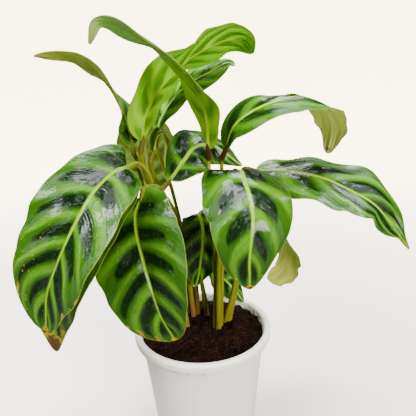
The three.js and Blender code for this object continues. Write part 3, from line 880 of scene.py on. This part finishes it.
TENDER_TOP = BladeFinish(
    (0.008, 0.032, 0.004), (0.045, 0.14, 0.006), (0.1, 0.26, 0.015), (0.24, 0.39, 0.03),
    dark_width=0.5, roughness=0.15, shine=0.12, through=0.1,
)
TOPS = {
    Age.MATURE: BladeFinish(
        (0.0015, 0.006, 0.0025), (0.017, 0.066, 0.003), (0.06, 0.175, 0.006), (0.2, 0.36, 0.004),
        dark_width=0.57, roughness=0.1, shine=0.2, through=0.05,
    ),
    Age.FRESH: BladeFinish(
        (0.0025, 0.011, 0.002), (0.018, 0.07, 0.002), (0.046, 0.14, 0.004), (0.2, 0.36, 0.006),
        dark_width=0.5, roughness=0.11, shine=0.1, through=0.08,
    ),
    # painted shade: darker, duller upper side for the back leaf in the shadow behind the stems
    Age.OLD: BladeFinish(
        (0.004, 0.012, 0.002), (0.02, 0.05, 0.004), (0.05, 0.1, 0.01), (0.14, 0.18, 0.02),
        roughness=0.2, shine=0.12, through=0.05,
    ),
    Age.TENDER: TENDER_TOP,
    Age.PALE: TENDER_TOP,
    Age.OLIVE: BladeFinish(
        (0.005, 0.02, 0.003), (0.03, 0.09, 0.006), (0.07, 0.17, 0.012), (0.16, 0.22, 0.02),
        roughness=0.16, shine=0.12, through=0.1,
    ),
}
UNDERSIDES = {
    Age.MATURE: BladeFinish(
        (0.2, 0.27, 0.02), (0.25, 0.31, 0.03), (0.29, 0.34, 0.04), (0.32, 0.34, 0.05), gleam=1.2,
    ),
    Age.FRESH: BladeFinish(
        (0.58, 0.61, 0.2), (0.66, 0.69, 0.26), (0.72, 0.73, 0.3), (0.72, 0.72, 0.32), gleam=1.4,
    ),
    # painted shade: darker, duller underside for the back leaf in the shadow behind the stems
    Age.OLD: BladeFinish(
        (0.038, 0.072, 0.0035), (0.06, 0.098, 0.005), (0.077, 0.11, 0.007), (0.12, 0.13, 0.02),
        gleam=1.2,
    ),
    Age.TENDER: BladeFinish(
        (0.06, 0.18, 0.0018), (0.16, 0.34, 0.0025), (0.25, 0.46, 0.005), (0.26, 0.4, 0.02),
        dark_width=0.48, shine=0.06, through=0.5,
    ),
    Age.PALE: BladeFinish(
        (0.08, 0.19, 0.002), (0.17, 0.33, 0.003), (0.22, 0.39, 0.006), (0.28, 0.4, 0.02),
        # painted sheen: the tall leaf's underside greys towards its tip as if in glare
        dark_width=0.42, shine=0.06, through=0.5, painted_sheen=0.8,
    ),
    Age.OLIVE: BladeFinish(
        (0.23, 0.27, 0.035), (0.29, 0.33, 0.05), (0.33, 0.36, 0.065), (0.34, 0.33, 0.08),
        dark_width=0.5, through=0.4, gleam=1.4,
    ),
}


# Leaf blades
@dataclass
class Blade:
    """One striped blade: a thin waved sheet with a midrib that stands out below."""

    leaf: Leaf
    seed: int
    rows: int = 112
    columns: int = 44
    thickness: float = 0.0006
    pleat: float = 0.0005
    base_half: float = 0.0017
    tip_half: float = 0.0005
    groove: float = 0.00035
    rib_depth: float = 0.0012
    scallop: float = 0.012

    def frames(self, along: Array) -> dict[str, Array]:
        """Finds the midrib's place and directions, with the fold and bow there.

        Args:
            along: fractions of the blade's length.

        Returns:
            The places, directions and angles by name.
        """
        rows = self.leaf.rows
        path = Spline([row.place for row in rows])
        share = path.share_of(along)
        ahead = path.ahead(share)
        up = Spline([row.face for row in rows]).at(share)
        up = unit(up - ahead * np.sum(up * ahead, axis=1, keepdims=True))
        bends = np.radians(Spline([(row.fold, row.bow, 0) for row in rows]).at(share))
        return {"place": path.at(share), "ahead": ahead, "up": up, "side": np.cross(ahead, up),
                "fold": bends[:, :1], "bow": bends[:, 1:2], "length": np.array(path.length)}

    def half_widths(self, along: Array) -> Array:
        """Gives the blade's half widths at fractions of its length, one column for each half."""
        leaf = self.leaf
        widest = leaf.rise / (leaf.rise + leaf.taper)
        peak = widest**leaf.rise * (1 - widest) ** leaf.taper
        point = 1 - leaf.point * ease(along, 0.72, 1.0)
        shape = point * along**leaf.rise * (1 - along) ** leaf.taper / peak
        stub = self.base_half + (self.tip_half - self.base_half) * along
        halves = np.stack([stub + (leaf.width / 2 * half - stub) * shape for half in leaf.halves], axis=1)
        for half in range(2):
            phase = self.seed + 2.3 * half
            scallop = np.sin(2 * np.pi * leaf.bands * along + phase) + 0.6 * np.sin(31 * along + 2 * phase)
            tear = np.sin(47 * along + 3 * phase) + 0.7 * np.sin(83 * along + phase)
            scallop = self.scallop * scallop * ease(along, 0.0, 0.2)
            halves[:, half] *= 1 + scallop + leaf.ragged * tear * ease(along, 0.35, 0.7)
        for notch in leaf.notches:
            halves[:, notch.half] *= 1 - notch.deep * np.exp(-(((along - notch.along) / notch.spread) ** 2))
        return halves

    def surface(self, half: Array, along: Array, across: Array, frames: dict[str, Array]) -> Array:
        """Finds the blade's middle surface.

        Args:
            half: the half width by row and column.
            along: fractions of the length, one for each row.
            across: from -1 at one margin to 1 at the other, one for each column.
            frames: the midrib's places and directions, one for each row.

        Returns:
            The places by row and column.
        """
        leaf, reach = self.leaf, np.abs(across)[None, :]
        start, bow = frames["fold"] + frames["bow"] / 2, frames["bow"]
        end = start - bow * reach
        out, lift = (np.sin(start) - np.sin(end)) / bow, (np.cos(end) - np.cos(start)) / bow
        phase = np.where(across > 0, 0, 1.9)[None, :]
        ends = np.minimum(1, np.minimum(6 * along, 6 * (1 - along)))[:, None]
        ripple = leaf.wave * reach**2 * ends * np.sin(2 * np.pi * leaf.waves * along[:, None] + phase)
        sideways = (np.sign(across)[None, :] * half * out)[..., None] * frames["side"][:, None]
        upward = (half * lift + ripple)[..., None] * frames["up"][:, None]
        back = np.where(across > 0, *leaf.lobes)[None, :] * reach**1.5 * (1 - along[:, None]) ** 5
        return frames["place"][:, None] + sideways + upward - back[..., None] * frames["ahead"][:, None]

    def vein(self, along: Array, across: Array) -> Array:
        """Counts the side veins, which sweep forward from the midrib, at each row and column."""
        swept = self.leaf.sweep * np.abs(across)[None, :] ** 1.3 * (1 - (1 - along[:, None]) ** 2.2)
        return self.leaf.bands * (along[:, None] - swept) + 0.3 * (across[None, :] > 0) + 20

    def relief(self, along: Array, across: Array, from_rib: Array, veins: Array) -> Array:
        """Gives the pleats between the side veins, the dents and the groove over the midrib.

        Args:
            along: fractions of the length, one for each row.
            across: from -1 at one margin to 1 at the other, one for each column.
            from_rib: metres from the midrib by row and column.
            veins: the side veins' count by row and column.

        Returns:
            How far the upper side stands out, by row and column.
        """
        reach = np.abs(across)[None, :]
        ends = ease(along, 0.0, 0.08)[:, None] * ease(1 - along, 0.0, 0.08)[:, None]
        swell = ease(reach, 0.03, 0.3) * (1 - 0.75 * ease(reach, 0.6, 1.0)) * ends
        fine = 0.1 * np.cos(6 * np.pi * veins) * ease(reach, 0.1, 0.4) * ends
        dents = np.sin(veins * 2.1 + self.seed) * np.sin(9 * across[None, :] + self.seed * 1.7) * ends
        pleats = self.pleat * (np.cos(2 * np.pi * veins) * swell + fine + 0.5 * dents)
        return pleats - self.groove * np.exp(-((from_rib / 0.0012) ** 2)) * (1 - 0.5 * along[:, None])

    def dried(self, along: Array, off_rib: Array, length: float) -> Array:
        """Gives how dried each vertex is.

        Args:
            along: the vertices' fractions of the length.
            off_rib: their metres from the midrib, below 0 on the right half.
            length: the blade's length.

        Returns:
            One number for each vertex, 0 where the blade is fresh.
        """
        brown = np.zeros(len(along))
        for spot in self.leaf.scorches:
            edge = self.half_widths(np.array([spot.along]))[0, 0 if spot.across > 0 else 1]
            stretch = 2.0 if abs(spot.across) > 0.7 else 1.0
            off = (off_rib - edge * spot.across) * stretch
            far = np.hypot((along - spot.along) * length / stretch, off) / spot.spread
            brown = np.maximum(brown, spot.brown * (1 - ease(far, 0.0, 1.0)))
        return brown

    def thicken(self, piece: Piece, normal: Array, along: Array, from_rib: Array) -> None:
        """Gives the sheet its thickness, its underside's material and the midrib below.

        Args:
            piece: the sheet, shaped as the upper side.
            normal: the way that each of its vertices faces.
            along: the vertices' fractions of the length.
            from_rib: their metres from the midrib.
        """
        sheet = piece.modifiers.new("thickness", "SOLIDIFY")
        sheet.thickness, sheet.offset = self.thickness, -1
        apply_all(piece)
        places, count = positions(piece), len(along)
        below = [min(face.vertices) >= count for face in piece.data.polygons]
        piece.data.polygons.foreach_set("material_index", below)
        depth = self.rib_depth * (1 - 0.75 * along) * np.exp(-((from_rib / 0.0011) ** 2))
        places[count:] -= normal * (depth * ease(along, -0.02, 0.03))[:, None]
        set_positions(piece, places)

    def build(self) -> Piece:
        """Models the blade.

        Returns:
            The piece, without its materials.
        """
        even = np.linspace(0, 1, self.rows + 1)
        along = even - 0.35 * np.sin(2 * np.pi * even) / (2 * np.pi)
        spread = np.linspace(-1, 1, self.columns + 1)
        across = np.sign(spread) * (0.3 * np.abs(spread) + 0.7 * np.abs(spread) ** 1.6)
        frames = self.frames(along)
        half = np.where(across > 0, *self.half_widths(along).T[:, :, None])
        middle = self.surface(half, along, across, frames)
        normal = unit(np.cross(np.gradient(middle, axis=1), np.gradient(middle, axis=0)))
        from_rib, veins = np.abs(across)[None, :] * half, self.vein(along, across)
        top = middle + normal * (self.thickness / 2 + self.relief(along, across, from_rib, veins))[..., None]

        piece, column, row = grid(f"leaf_{self.leaf.name}", self.columns, self.rows)
        length = float(frames["length"])
        across, along = across[column], along[row]
        half, from_rib, veins = half[row, column], from_rib[row, column], veins[row, column]
        seed = np.full(len(row), self.seed)
        specks = self.leaf.specks * ease(across, 0.05, 0.3) * ease(along, 0.3, 0.6)
        note(piece, "leaf", np.stack([across, along, veins], axis=1))
        note(piece, "reach", np.stack([from_rib, half - from_rib, along * length + seed], axis=1))
        note(piece, "spots", np.stack([self.dried(along, half * across, length), specks, seed], axis=1))
        set_positions(piece, top[row, column])
        self.thicken(piece, normal[row, column], along, from_rib)
        smooth(piece)
        return piece


@dataclass
class Foliage:
    """All the blades, with their materials."""

    leaves: tuple[Leaf, ...] = LEAVES
    pieces: list[Piece] = field(default_factory=list)

    def build(self) -> None:
        """Models each blade."""
        for seed, leaf in enumerate(self.leaves):
            self.pieces.append(Blade(leaf, seed + 1).build())

    def dress(self) -> None:
        """Gives each blade its upper side's and its underside's material."""
        stripes = Stripes()
        tops = {age: side.material(f"{age.value} upper side", stripes) for age, side in TOPS.items()}
        undersides = {age: side.material(f"{age.value} underside", stripes) for age, side in UNDERSIDES.items()}
        for leaf, piece in zip(self.leaves, self.pieces):
            piece.data.materials.append(tops[leaf.age])
            piece.data.materials.append(undersides[leaf.age])
            settle(piece, "leaf", f"blade_{leaf.name}")


# Shoots
@dataclass(frozen=True)
class PetioleFinish:
    """The yellow-green petiole with its brown sheath below and its brown swollen joint above."""

    fresh: Colour = (0.16, 0.18, 0.006)
    deep: Colour = (0.075, 0.1, 0.004)
    sheath: Colour = (0.17, 0.075, 0.02)
    joint: Colour = (0.04, 0.014, 0.004)

    def material(self) -> bpy.types.Material:
        """Makes the material from what each petiole notes: metres from the soil and to the blade, and how brown.

        Returns:
            The material.
        """
        made, w, shader = new_material("petiole")
        from_soil, to_blade, brown = w.parts(w.attribute("stem"))
        around, along, seed = w.parts(w.attribute("skin"))
        fibres = w.noise(w.vector(w.times(around, 9.0), w.times(along, 60.0), seed), 1.0, 3.0)
        patches = w.noise(w.place(), 70.0, 2.0)
        colour = w.mix(w.ramp(fibres, 0.3, 0.7), self.fresh, self.deep)
        colour = w.mix(w.ramp(patches, 0.35, 0.75, 0.0, 0.5), colour, self.fresh)
        low = w.times(w.ramp(from_soil, 0.04, 0.0), w.ramp(patches, 0.3, 0.6, 0.35, 1.0))
        low = w.times(low, w.ramp(w.parts(w.place())[0], 0.012, 0.0, 0.3, 1.0))
        colour = w.mix(low, colour, self.sheath)
        joint = w.times(w.ramp(to_blade, 0.0135, 0.0105), brown)
        colour = w.mix(joint, colour, self.joint)
        roughness = w.ramp(fibres, 0.2, 0.8, 0.45, 0.65)
        Surface(colour, roughness, fibres, 0.0003, 0.1, 0.1, (1.0, 0.8, 0.2)).feed(w, shader)
        return made


@dataclass
class Petiole:
    """One leaf stalk: a sheath at the foot, a round petiole and the swollen joint under the blade."""

    leaf: Leaf
    seed: int
    foot_depth: float = 0.028
    sheath_radius: float = 0.003
    stalk_radius: float = 0.0019
    joint_radius: float = 0.0023
    joint_length: float = 0.012
    rings: int = 150
    sides: int = 20

    def path(self) -> Spline:
        """Draws the stalk's line from below the soil into the blade's base."""
        frames = Blade(self.leaf, 1).frames(np.array([0.0, 0.03]))
        base, ahead, up = frames["place"][0], frames["ahead"][0], frames["up"]
        x, y = self.leaf.foot
        low = [(x, y, SOIL_TOP - self.foot_depth * share) for share in (1.0, 0.5, 0.0)]
        joint = base - ahead * self.joint_length
        last = frames["place"][1] - up[1] * 0.0009
        return Spline([*low, *self.leaf.stalk, tuple(joint), tuple(base - up[0] * 0.0006), tuple(last)])

    def build(self) -> Piece:
        """Models the stalk as a rolled grid closed at both ends.

        Returns:
            The piece.
        """
        path = self.path()
        piece, column, row = grid(f"petiole_{self.leaf.name}", self.sides, self.rings)
        stops = np.linspace(0, 1, self.rings + 1)
        share = path.share_of(stops)
        centre, ahead = path.at(share), path.ahead(share)
        side = np.zeros_like(ahead)
        guide = np.array([1.0, 0.0, 0.0])
        for ring, forward in enumerate(ahead):
            guide = guide - forward * guide.dot(forward)
            guide = guide / np.linalg.norm(guide)
            side[ring] = guide
        other = np.cross(ahead, side)
        metres = stops * path.length
        last = path.length - 0.0045
        radius = self.sheath_radius + (self.stalk_radius - self.sheath_radius) * np.clip(metres / 0.11, 0, 1)
        swell = ease(metres, last - self.joint_length - 0.002, last - self.joint_length + 0.003)
        radius = radius + (self.joint_radius - radius) * swell
        radius = radius - (radius - 0.0011) * ease(metres, last - 0.002, path.length)
        radius = radius * (1 + 0.03 * np.sin(metres * 230 + self.seed))
        angle = 2 * np.pi * column / self.sides
        groove = 1 - 0.1 * np.exp(-((np.abs(angle - np.pi) / 0.5) ** 2))
        turn = (np.cos(angle) * groove)[:, None] * side[row] + (np.sin(angle) * groove)[:, None] * other[row]
        places = centre[row] + turn * radius[row][:, None]
        brown = np.full(len(row), self.leaf.joint_brown)
        note(piece, "stem", np.stack([centre[row][:, 2] - SOIL_TOP, last - metres[row], brown], axis=1))
        note(piece, "skin", np.stack([np.sin(angle), metres[row], np.full(len(row), self.seed * 3.1)], axis=1))
        set_positions(piece, places)
        close_up(merge=1e-6)
        return piece


@dataclass
class Shoots:
    """The shoots: the petioles that grow together, joined into one piece for each shoot."""

    leaves: tuple[Leaf, ...] = LEAVES
    pieces: dict[str, Piece] = field(default_factory=dict)

    def build(self) -> None:
        """Models every petiole and joins those of one shoot."""
        for shoot in dict.fromkeys(leaf.shoot for leaf in self.leaves):
            members = [(leaf, seed + 1) for seed, leaf in enumerate(self.leaves) if leaf.shoot == shoot]
            grown = [Petiole(leaf, seed).build() for leaf, seed in members]
            take(*grown)
            if len(grown) > 1:
                bpy.ops.object.join()
            self.pieces[shoot] = named(f"stalks_{shoot}")
            smooth(self.pieces[shoot])

    def dress(self) -> None:
        """Gives each shoot the petiole's material."""
        finish = PetioleFinish().material()
        for shoot, piece in self.pieces.items():
            piece.data.materials.append(finish)
            settle(piece, "petiole", f"shoot_{shoot}")


# Pot
@dataclass(frozen=True)
class PlasticFinish:
    """Satin white nursery-pot plastic, faintly scuffed, with compost dust inside its lip."""

    white: Colour = (0.99, 0.94, 0.84)
    cool: Colour = (0.96, 0.89, 0.85)
    dust: Colour = (0.2, 0.12, 0.07)

    def material(self) -> bpy.types.Material:
        """Makes the material."""
        made, w, shader = new_material("satin white plastic")
        place = w.place()
        x, y, z = w.parts(place)
        out = w.from_axis(x, y)
        cloud = w.noise(place, 14.0, 3.0)
        grain = w.noise(place, 900.0, 2.0)
        colour = w.mix(w.ramp(z, 0.106, 0.1075), self.cool, self.white)
        colour = w.mix(w.ramp(cloud, 0.3, 0.7, 0.0, 0.4), colour, self.cool)
        inside = w.times(w.ramp(out, 0.0585, 0.0572), w.times(w.ramp(z, 0.1145, 0.1095), w.ramp(z, 0.1, 0.104)))
        dusty = w.times(inside, w.ramp(w.noise(place, 240.0, 4.0, 0.7), 0.45, 0.62))
        colour = w.mix(w.times(dusty, 0.75), colour, self.dust)
        scratched = w.noise(w.vector(w.times(x, 60.0), w.times(y, 60.0), w.times(z, 900.0)), 1.0, 3.0)
        scuff = w.times(w.ramp(scratched, 0.6, 0.75), 0.12)
        roughness = w.plus(w.ramp(cloud, 0.3, 0.7, 0.3, 0.4), scuff)
        height = w.plus(w.times(grain, 0.5), w.times(cloud, 0.5))
        Surface(colour, roughness, height, 0.00006, through=0.05).feed(w, shader)
        return made


@dataclass
class NurseryPot:
    """The moulded pot: a tapering wall with a ring step and a rolled lip."""

    height: float = 0.115
    rim_radius: float = 0.0635
    rim_depth: float = 0.008
    mouth_radius: float = 0.0575
    body_top: float = 0.058
    foot_radius: float = 0.0466
    wall: float = 0.0018
    floor: float = 0.0025
    step: float = 0.001
    step_below: float = 0.012
    sides: int = 160
    piece: Piece | None = None

    def wall_at(self, height: float) -> float:
        """Gives the outer radius of the plain wall at a height."""
        return self.foot_radius + (self.body_top - self.foot_radius) * height / (self.height - self.rim_depth)

    def profile(self) -> list[tuple[float, float]]:
        """Lists the rings from the middle of the foot, up the outside, over the lip and down inside."""
        top, rim, foot, mouth = self.height, self.rim_radius, self.foot_radius, self.mouth_radius
        under = top - self.rim_depth
        ring = under - self.step_below
        outside = [(0.02, 0), (foot - 0.0014, 0), (foot - 0.0005, 0.0003), (foot, 0.0012)]
        for share in (0.1, 0.3, 0.5, 0.7, 0.9):
            outside.append((self.wall_at(share * ring) - self.step * share, share * ring))
        for share, rise in ((1, -0.0008), (0.9, -0.0003), (0.1, 0.0003), (0, 0.0009)):
            outside.append((self.wall_at(ring) - self.step * share, ring + rise))
        outside += [(self.wall_at(ring + 0.006), ring + 0.006), (self.body_top - 0.0002, under - 0.0012)]
        outside += [(self.body_top + 0.0003, under - 0.0003), (self.body_top + 0.0012, under)]
        lip = [(rim - inset, under + rise) for inset, rise in ((0.0016, 0), (0.0007, 0.0004), (0.0004, 0.0013))]
        rolled = ((0.0001, 0.0034), (0, 0.0024), (0.0002, 0.0014), (0.0008, 0.0006), (0.0017, 0.0001), (0.0026, 0))
        lip += [(rim - inset, top - drop) for inset, drop in rolled]
        for outset, drop in ((0.0018, 0), (0.0009, 0.0003), (0.0002, 0.0011), (-0.0001, 0.0024)):
            lip.append((mouth + outset, top - drop))
        inner = [(self.wall_at(height) - self.wall, height) for height in (SOIL_TOP, under, 0.08, 0.04, 0.006)]
        return outside + lip + inner + [(self.wall_at(0.0) - self.wall - 0.001, self.floor), (0.02, self.floor)]

    def build(self) -> None:
        """Turns the pot from its profile."""
        self.piece = turned("nursery_pot", self.profile(), self.sides)
        smooth(self.piece, 40)

    def dress(self) -> None:
        """Gives the pot its plastic."""
        self.piece.data.materials.append(PlasticFinish().material())
        settle(self.piece, "pot_plastic", "pot")


# Compost
@dataclass(frozen=True)
class CompostFinish:
    """Dark damp coir compost with reddish fibres."""

    name: str
    dark: Colour
    warm: Colour
    scale: float
    roughness: float = 0.85

    def material(self) -> bpy.types.Material:
        """Makes the material."""
        made, w, shader = new_material(self.name)
        place = w.place()
        clods = w.noise(place, self.scale, 5.0, 0.7)
        fine = w.noise(place, self.scale * 7, 3.0, 0.6)
        colour = w.mix(w.ramp(clods, 0.42, 0.68), self.dark, self.warm)
        colour = w.mix(w.ramp(fine, 0.35, 0.7, 0.0, 0.6), colour, self.dark)
        roughness = w.ramp(fine, 0.3, 0.7, self.roughness - 0.25, self.roughness)
        height = w.plus(w.times(clods, 0.6), w.times(fine, 0.4))
        Surface(colour, roughness, height, 0.0012, shine=0.05).feed(w, shader)
        return made


@dataclass
class Compost:
    """The compost: one closed body with a lumpy top, loose crumbs and coir fibres."""

    edge_radius: float = 0.0562
    bottom_radius: float = 0.0442
    bottom: float = 0.0032
    cells: int = 150
    crumbs: int = 900
    fibres: int = 260
    pieces: list[Piece] = field(default_factory=list)

    def height(self, x: float, y: float) -> float:
        """Finds the height of the compost's top at a place."""
        lumps = math.sin(210 * x + 1.3) * math.cos(170 * y) + 0.6 * math.sin(430 * x - 370 * y)
        mound = 0.003 * math.exp(-((x - 0.004) ** 2 + (y - 0.04) ** 2) / 0.00012)
        clods = noise.fractal(Vector((x, y, 0)) * 120, 0.9, 2.1, 5)
        edge = max(0.0, math.hypot(x, y) - 0.048) / 0.008
        return SOIL_TOP + 0.0007 * lumps + mound + 0.0019 * clods - 0.0014 * edge**2

    def build(self) -> None:
        """Models the body, the crumbs and the fibres."""
        body, column, row = grid("compost", self.cells, self.cells)
        x, y = 2 * column / self.cells - 1, 2 * row / self.cells - 1
        places = np.stack([x * np.sqrt(1 - y * y / 2), y * np.sqrt(1 - x * x / 2), x * 0], axis=1)
        places *= self.edge_radius
        places[:, 2] = [self.height(px, py) for px, py, _ in places]
        set_positions(body, places)
        bpy.ops.object.mode_set(mode="EDIT")
        bpy.ops.mesh.select_all(action="DESELECT")
        bpy.ops.mesh.select_non_manifold()
        for height, radius in ((SOIL_TOP - 0.006, 0.0556), (self.bottom, self.bottom_radius)):
            bpy.ops.mesh.extrude_region_move(TRANSFORM_OT_translate={"value": (0, 0, -0.001)})
            size = radius / (self.edge_radius if height > 0.05 else 0.0556)
            bpy.ops.transform.resize(value=(size, size, 0), center_override=(0, 0, height))
        bpy.ops.object.mode_set(mode="OBJECT")
        close_up()
        smooth(body, 70)
        self.pieces = [body, self.strew_crumbs(), self.strew_fibres()]

    def spot(self, dice: np.random.Generator, reach: float) -> Vector:
        """Picks a place on the compost's top."""
        angle, out = dice.uniform(0, 2 * math.pi), reach * math.sqrt(dice.uniform())
        x, y = out * math.cos(angle), out * math.sin(angle)
        return Vector((x, y, self.height(x, y)))

    def strew_crumbs(self) -> Piece:
        """Models one crumb and strews it over the top."""
        dice = np.random.default_rng(SEED)
        start_fresh()
        bpy.ops.mesh.primitive_ico_sphere_add(subdivisions=2, radius=1)
        crumb = named("crumb")
        shape = positions(crumb)
        for index, place in enumerate(shape):
            shape[index] = place * (1 + 0.35 * noise.noise(Vector(place) * 1.7))
        crumb.data.vertices.foreach_set("co", shape.ravel())
        spots = []
        for _ in range(self.crumbs):
            size = 0.0005 + 0.0017 * dice.uniform() ** 2.5
            turn = Euler(dice.uniform(0, 2 * math.pi, 3)).to_matrix().to_4x4()
            stretch = Matrix.Diagonal((size, size * dice.uniform(0.6, 1), size * dice.uniform(0.5, 0.9), 1))
            spots.append(Matrix.Translation(self.spot(dice, 0.0553)) @ turn @ stretch)
        return strewn("compost_crumbs", crumb, spots)

    def strew_fibres(self) -> Piece:
        """Models one curled coir fibre and strews it over the top."""
        dice = np.random.default_rng(SEED + 1)
        fibre, column, row = grid("fibre", 5, 9)
        angle, share = 2 * np.pi * column / 5, row / 9 - 0.5
        thin = 1 - 0.9 * np.abs(share * 2) ** 3
        sideways = 0.16 * np.sin(4 * share) + 0.02 * thin * np.cos(angle)
        places = np.stack([share, sideways, 0.02 * thin * np.sin(angle) - 0.3 * share**2], axis=1)
        fibre.data.vertices.foreach_set("co", places.ravel())
        close_up(merge=1e-5)
        spots = []
        for _ in range(self.fibres):
            size = dice.uniform(0.003, 0.011)
            turn = Euler([dice.uniform(*span) for span in ((-0.5, 0.5), (-0.25, 0.25), (0, 6.28))])
            lift = Matrix.Translation(self.spot(dice, 0.049) + Vector((0, 0, 0.0007)))
            spots.append(lift @ turn.to_matrix().to_4x4() @ Matrix.Diagonal((size, size, size * 0.8, 1)))
        return strewn("coir_fibres", fibre, spots)

    def dress(self) -> None:
        """Gives the compost, the crumbs and the fibres their materials."""
        finishes = (
            CompostFinish("damp compost", (0.004, 0.0016, 0.001), (0.022, 0.008, 0.005), 160),
            CompostFinish("compost crumbs", (0.005, 0.002, 0.0012), (0.035, 0.012, 0.007), 110),
            CompostFinish("coir fibres", (0.03, 0.01, 0.005), (0.13, 0.045, 0.014), 60, 0.7),
        )
        for piece, finish in zip(self.pieces, finishes):
            piece.data.materials.append(finish.material())
        settle(self.pieces[0], "soil", "soil")
        for piece in self.pieces[1:]:
            smooth(piece)
            settle(piece, "soil")


# Studio
@dataclass(frozen=True)
class SoftBox:
    """One soft area light: where it stands, its size and its power."""

    name: str
    place: Place
    width: float
    depth: float
    watts: float
    tint: Colour = (1.0, 1.0, 1.0)

    def build(self, aim: Place) -> None:
        """Adds the light and turns it to its aim."""
        lamp = bpy.data.lights.new(self.name, "AREA")
        lamp.shape, lamp.size, lamp.size_y = "RECTANGLE", self.width, self.depth
        lamp.energy, lamp.color = self.watts, self.tint
        stand = bpy.data.objects.new(self.name, lamp)
        stand.location = self.place
        stand.rotation_euler = (Vector(aim) - Vector(self.place)).to_track_quat("-Z", "Y").to_euler()
        bpy.context.scene.collection.objects.link(stand)


@dataclass
class Studio:
    """The pale floor, the soft lights and the camera at the photograph's angle."""

    camera_place: Place = (0.009, -0.3675, 0.3453)
    pitch: float = 17.6
    roll: float = 2.02
    lens: float = 38.6
    aim: Place = (0.0, 0.0, 0.22)
    glow: float = 8.0
    room: float = 0.15
    backdrop: Colour = (1.0, 0.83, 0.55)
    lights: tuple[SoftBox, ...] = (
        SoftBox("top skylight", (0.03, 0.02, 1.45), 0.7, 0.8, 44, (0.97, 0.98, 1.0)),
        SoftBox("left skylight", (-1.1, 0.1, 1.3), 0.5, 0.6, 36, (0.97, 0.98, 1.0)),
        SoftBox("right skylight", (1.0, 0.45, 1.35), 0.5, 0.5, 17, (0.97, 0.98, 1.0)),
        SoftBox("left window", (-0.8, -0.6, 1.3), 0.45, 0.45, 26, (0.98, 0.98, 1.0)),
        SoftBox("right window", (1.0, -1.35, 0.75), 0.8, 0.8, 66, (1.0, 0.95, 0.88)),
        SoftBox("back skylight", (0.1, 1.0, 1.5), 0.8, 0.6, 24, (0.98, 0.98, 1.0)),
    )

    def build_floor(self) -> None:
        """Models the floor: a wide disc whose far edge sweeps up."""
        start_fresh()
        bpy.ops.mesh.primitive_circle_add(vertices=96, radius=1.2, fill_type="NGON")
        floor = named("pale_floor")
        bpy.ops.object.mode_set(mode="EDIT")
        bpy.ops.mesh.select_all(action="SELECT")
        bpy.ops.mesh.inset(thickness=0.3)
        bpy.ops.mesh.select_all(action="DESELECT")
        bpy.ops.mesh.select_non_manifold()
        size, lift = 1.2, 0.0
        for step in range(1, 13):
            angle = math.radians(5 * step)
            wider = 1.2 + 2.2 * math.sin(angle)
            rise = 2.2 * (1 - math.cos(angle)) - lift
            lift += rise
            bpy.ops.mesh.extrude_region_move(TRANSFORM_OT_translate={"value": (0, 0, rise)})
            bpy.ops.transform.resize(value=(wider / size, wider / size, 1), center_override=(0, 0, lift))
            size = wider
        bpy.ops.object.mode_set(mode="OBJECT")
        smooth(floor)
        made, w, shader = new_material("pale floor")
        seen = w.add("LightPath").outputs["Is Camera Ray"]
        cloud = w.noise(w.place(), 3.0, 3.0)
        colour = w.mix(w.ramp(cloud, 0.3, 0.7), (0.82, 0.76, 0.7), (0.86, 0.8, 0.74))
        colour = w.mix(seen, (0.1, 0.09, 0.08), colour)
        Surface(colour, w.ramp(cloud, 0.3, 0.7, 0.7, 0.8), cloud, 0.0002).feed(w, shader)
        x, y, _ = w.parts(w.place())
        out = w.from_axis(x, y)
        far = w.times(w.ramp(out, 0.2, 1.4), seen)
        w.tree.links.new(w.mix(far, (0.0, 0.0, 0.0), self.backdrop), shader.inputs["Emission Color"])
        shader.inputs["Emission Strength"].default_value = self.glow
        floor.data.materials.append(made)

    def build_camera(self) -> None:
        """Sets the camera where the photograph was taken from."""
        pitch, roll = math.radians(self.pitch), math.radians(self.roll)
        right, up = Vector((1, 0, 0)), Vector((0, math.sin(pitch), math.cos(pitch)))
        ahead = Vector((0, math.cos(pitch), -math.sin(pitch)))
        level, lean = math.cos(roll), math.sin(roll)
        tilted = (right * level - up * lean, up * level + right * lean, -ahead)
        lens = bpy.data.cameras.new("camera")
        lens.lens, lens.sensor_width, lens.clip_start = self.lens, 36, 0.01
        camera = bpy.data.objects.new("camera", lens)
        camera.matrix_world = Matrix.Translation(self.camera_place) @ Matrix(tilted).transposed().to_4x4()
        bpy.context.scene.collection.objects.link(camera)
        bpy.context.scene.camera = camera

    def build_lights(self) -> None:
        """Adds the soft lights and the pale surroundings."""
        for light in self.lights:
            light.build(self.aim)
        world = bpy.data.worlds.new("pale room")
        world.use_nodes = True
        w = Wiring(world.node_tree)
        backdrop = world.node_tree.nodes["Background"]
        backdrop.inputs["Color"].default_value = self.backdrop + (1,)
        seen = w.add("LightPath").outputs["Is Camera Ray"]
        w.tree.links.new(w.ramp(seen, 0.0, 1.0, self.room, self.glow), backdrop.inputs["Strength"])
        bpy.context.scene.world = world


def main() -> None:
    """Builds and dresses the plant, then the studio."""
    logging.basicConfig(level=logging.INFO, format="%(message)s")
    studio = Studio()
    studio.build_camera()
    for group in (NurseryPot(), Compost(), Shoots(), Foliage()):
        group.build()
        group.dress()
        LOG.info("%s done", type(group).__name__)
    studio.build_floor()
    studio.build_lights()


if __name__ == "__main__":
    main()
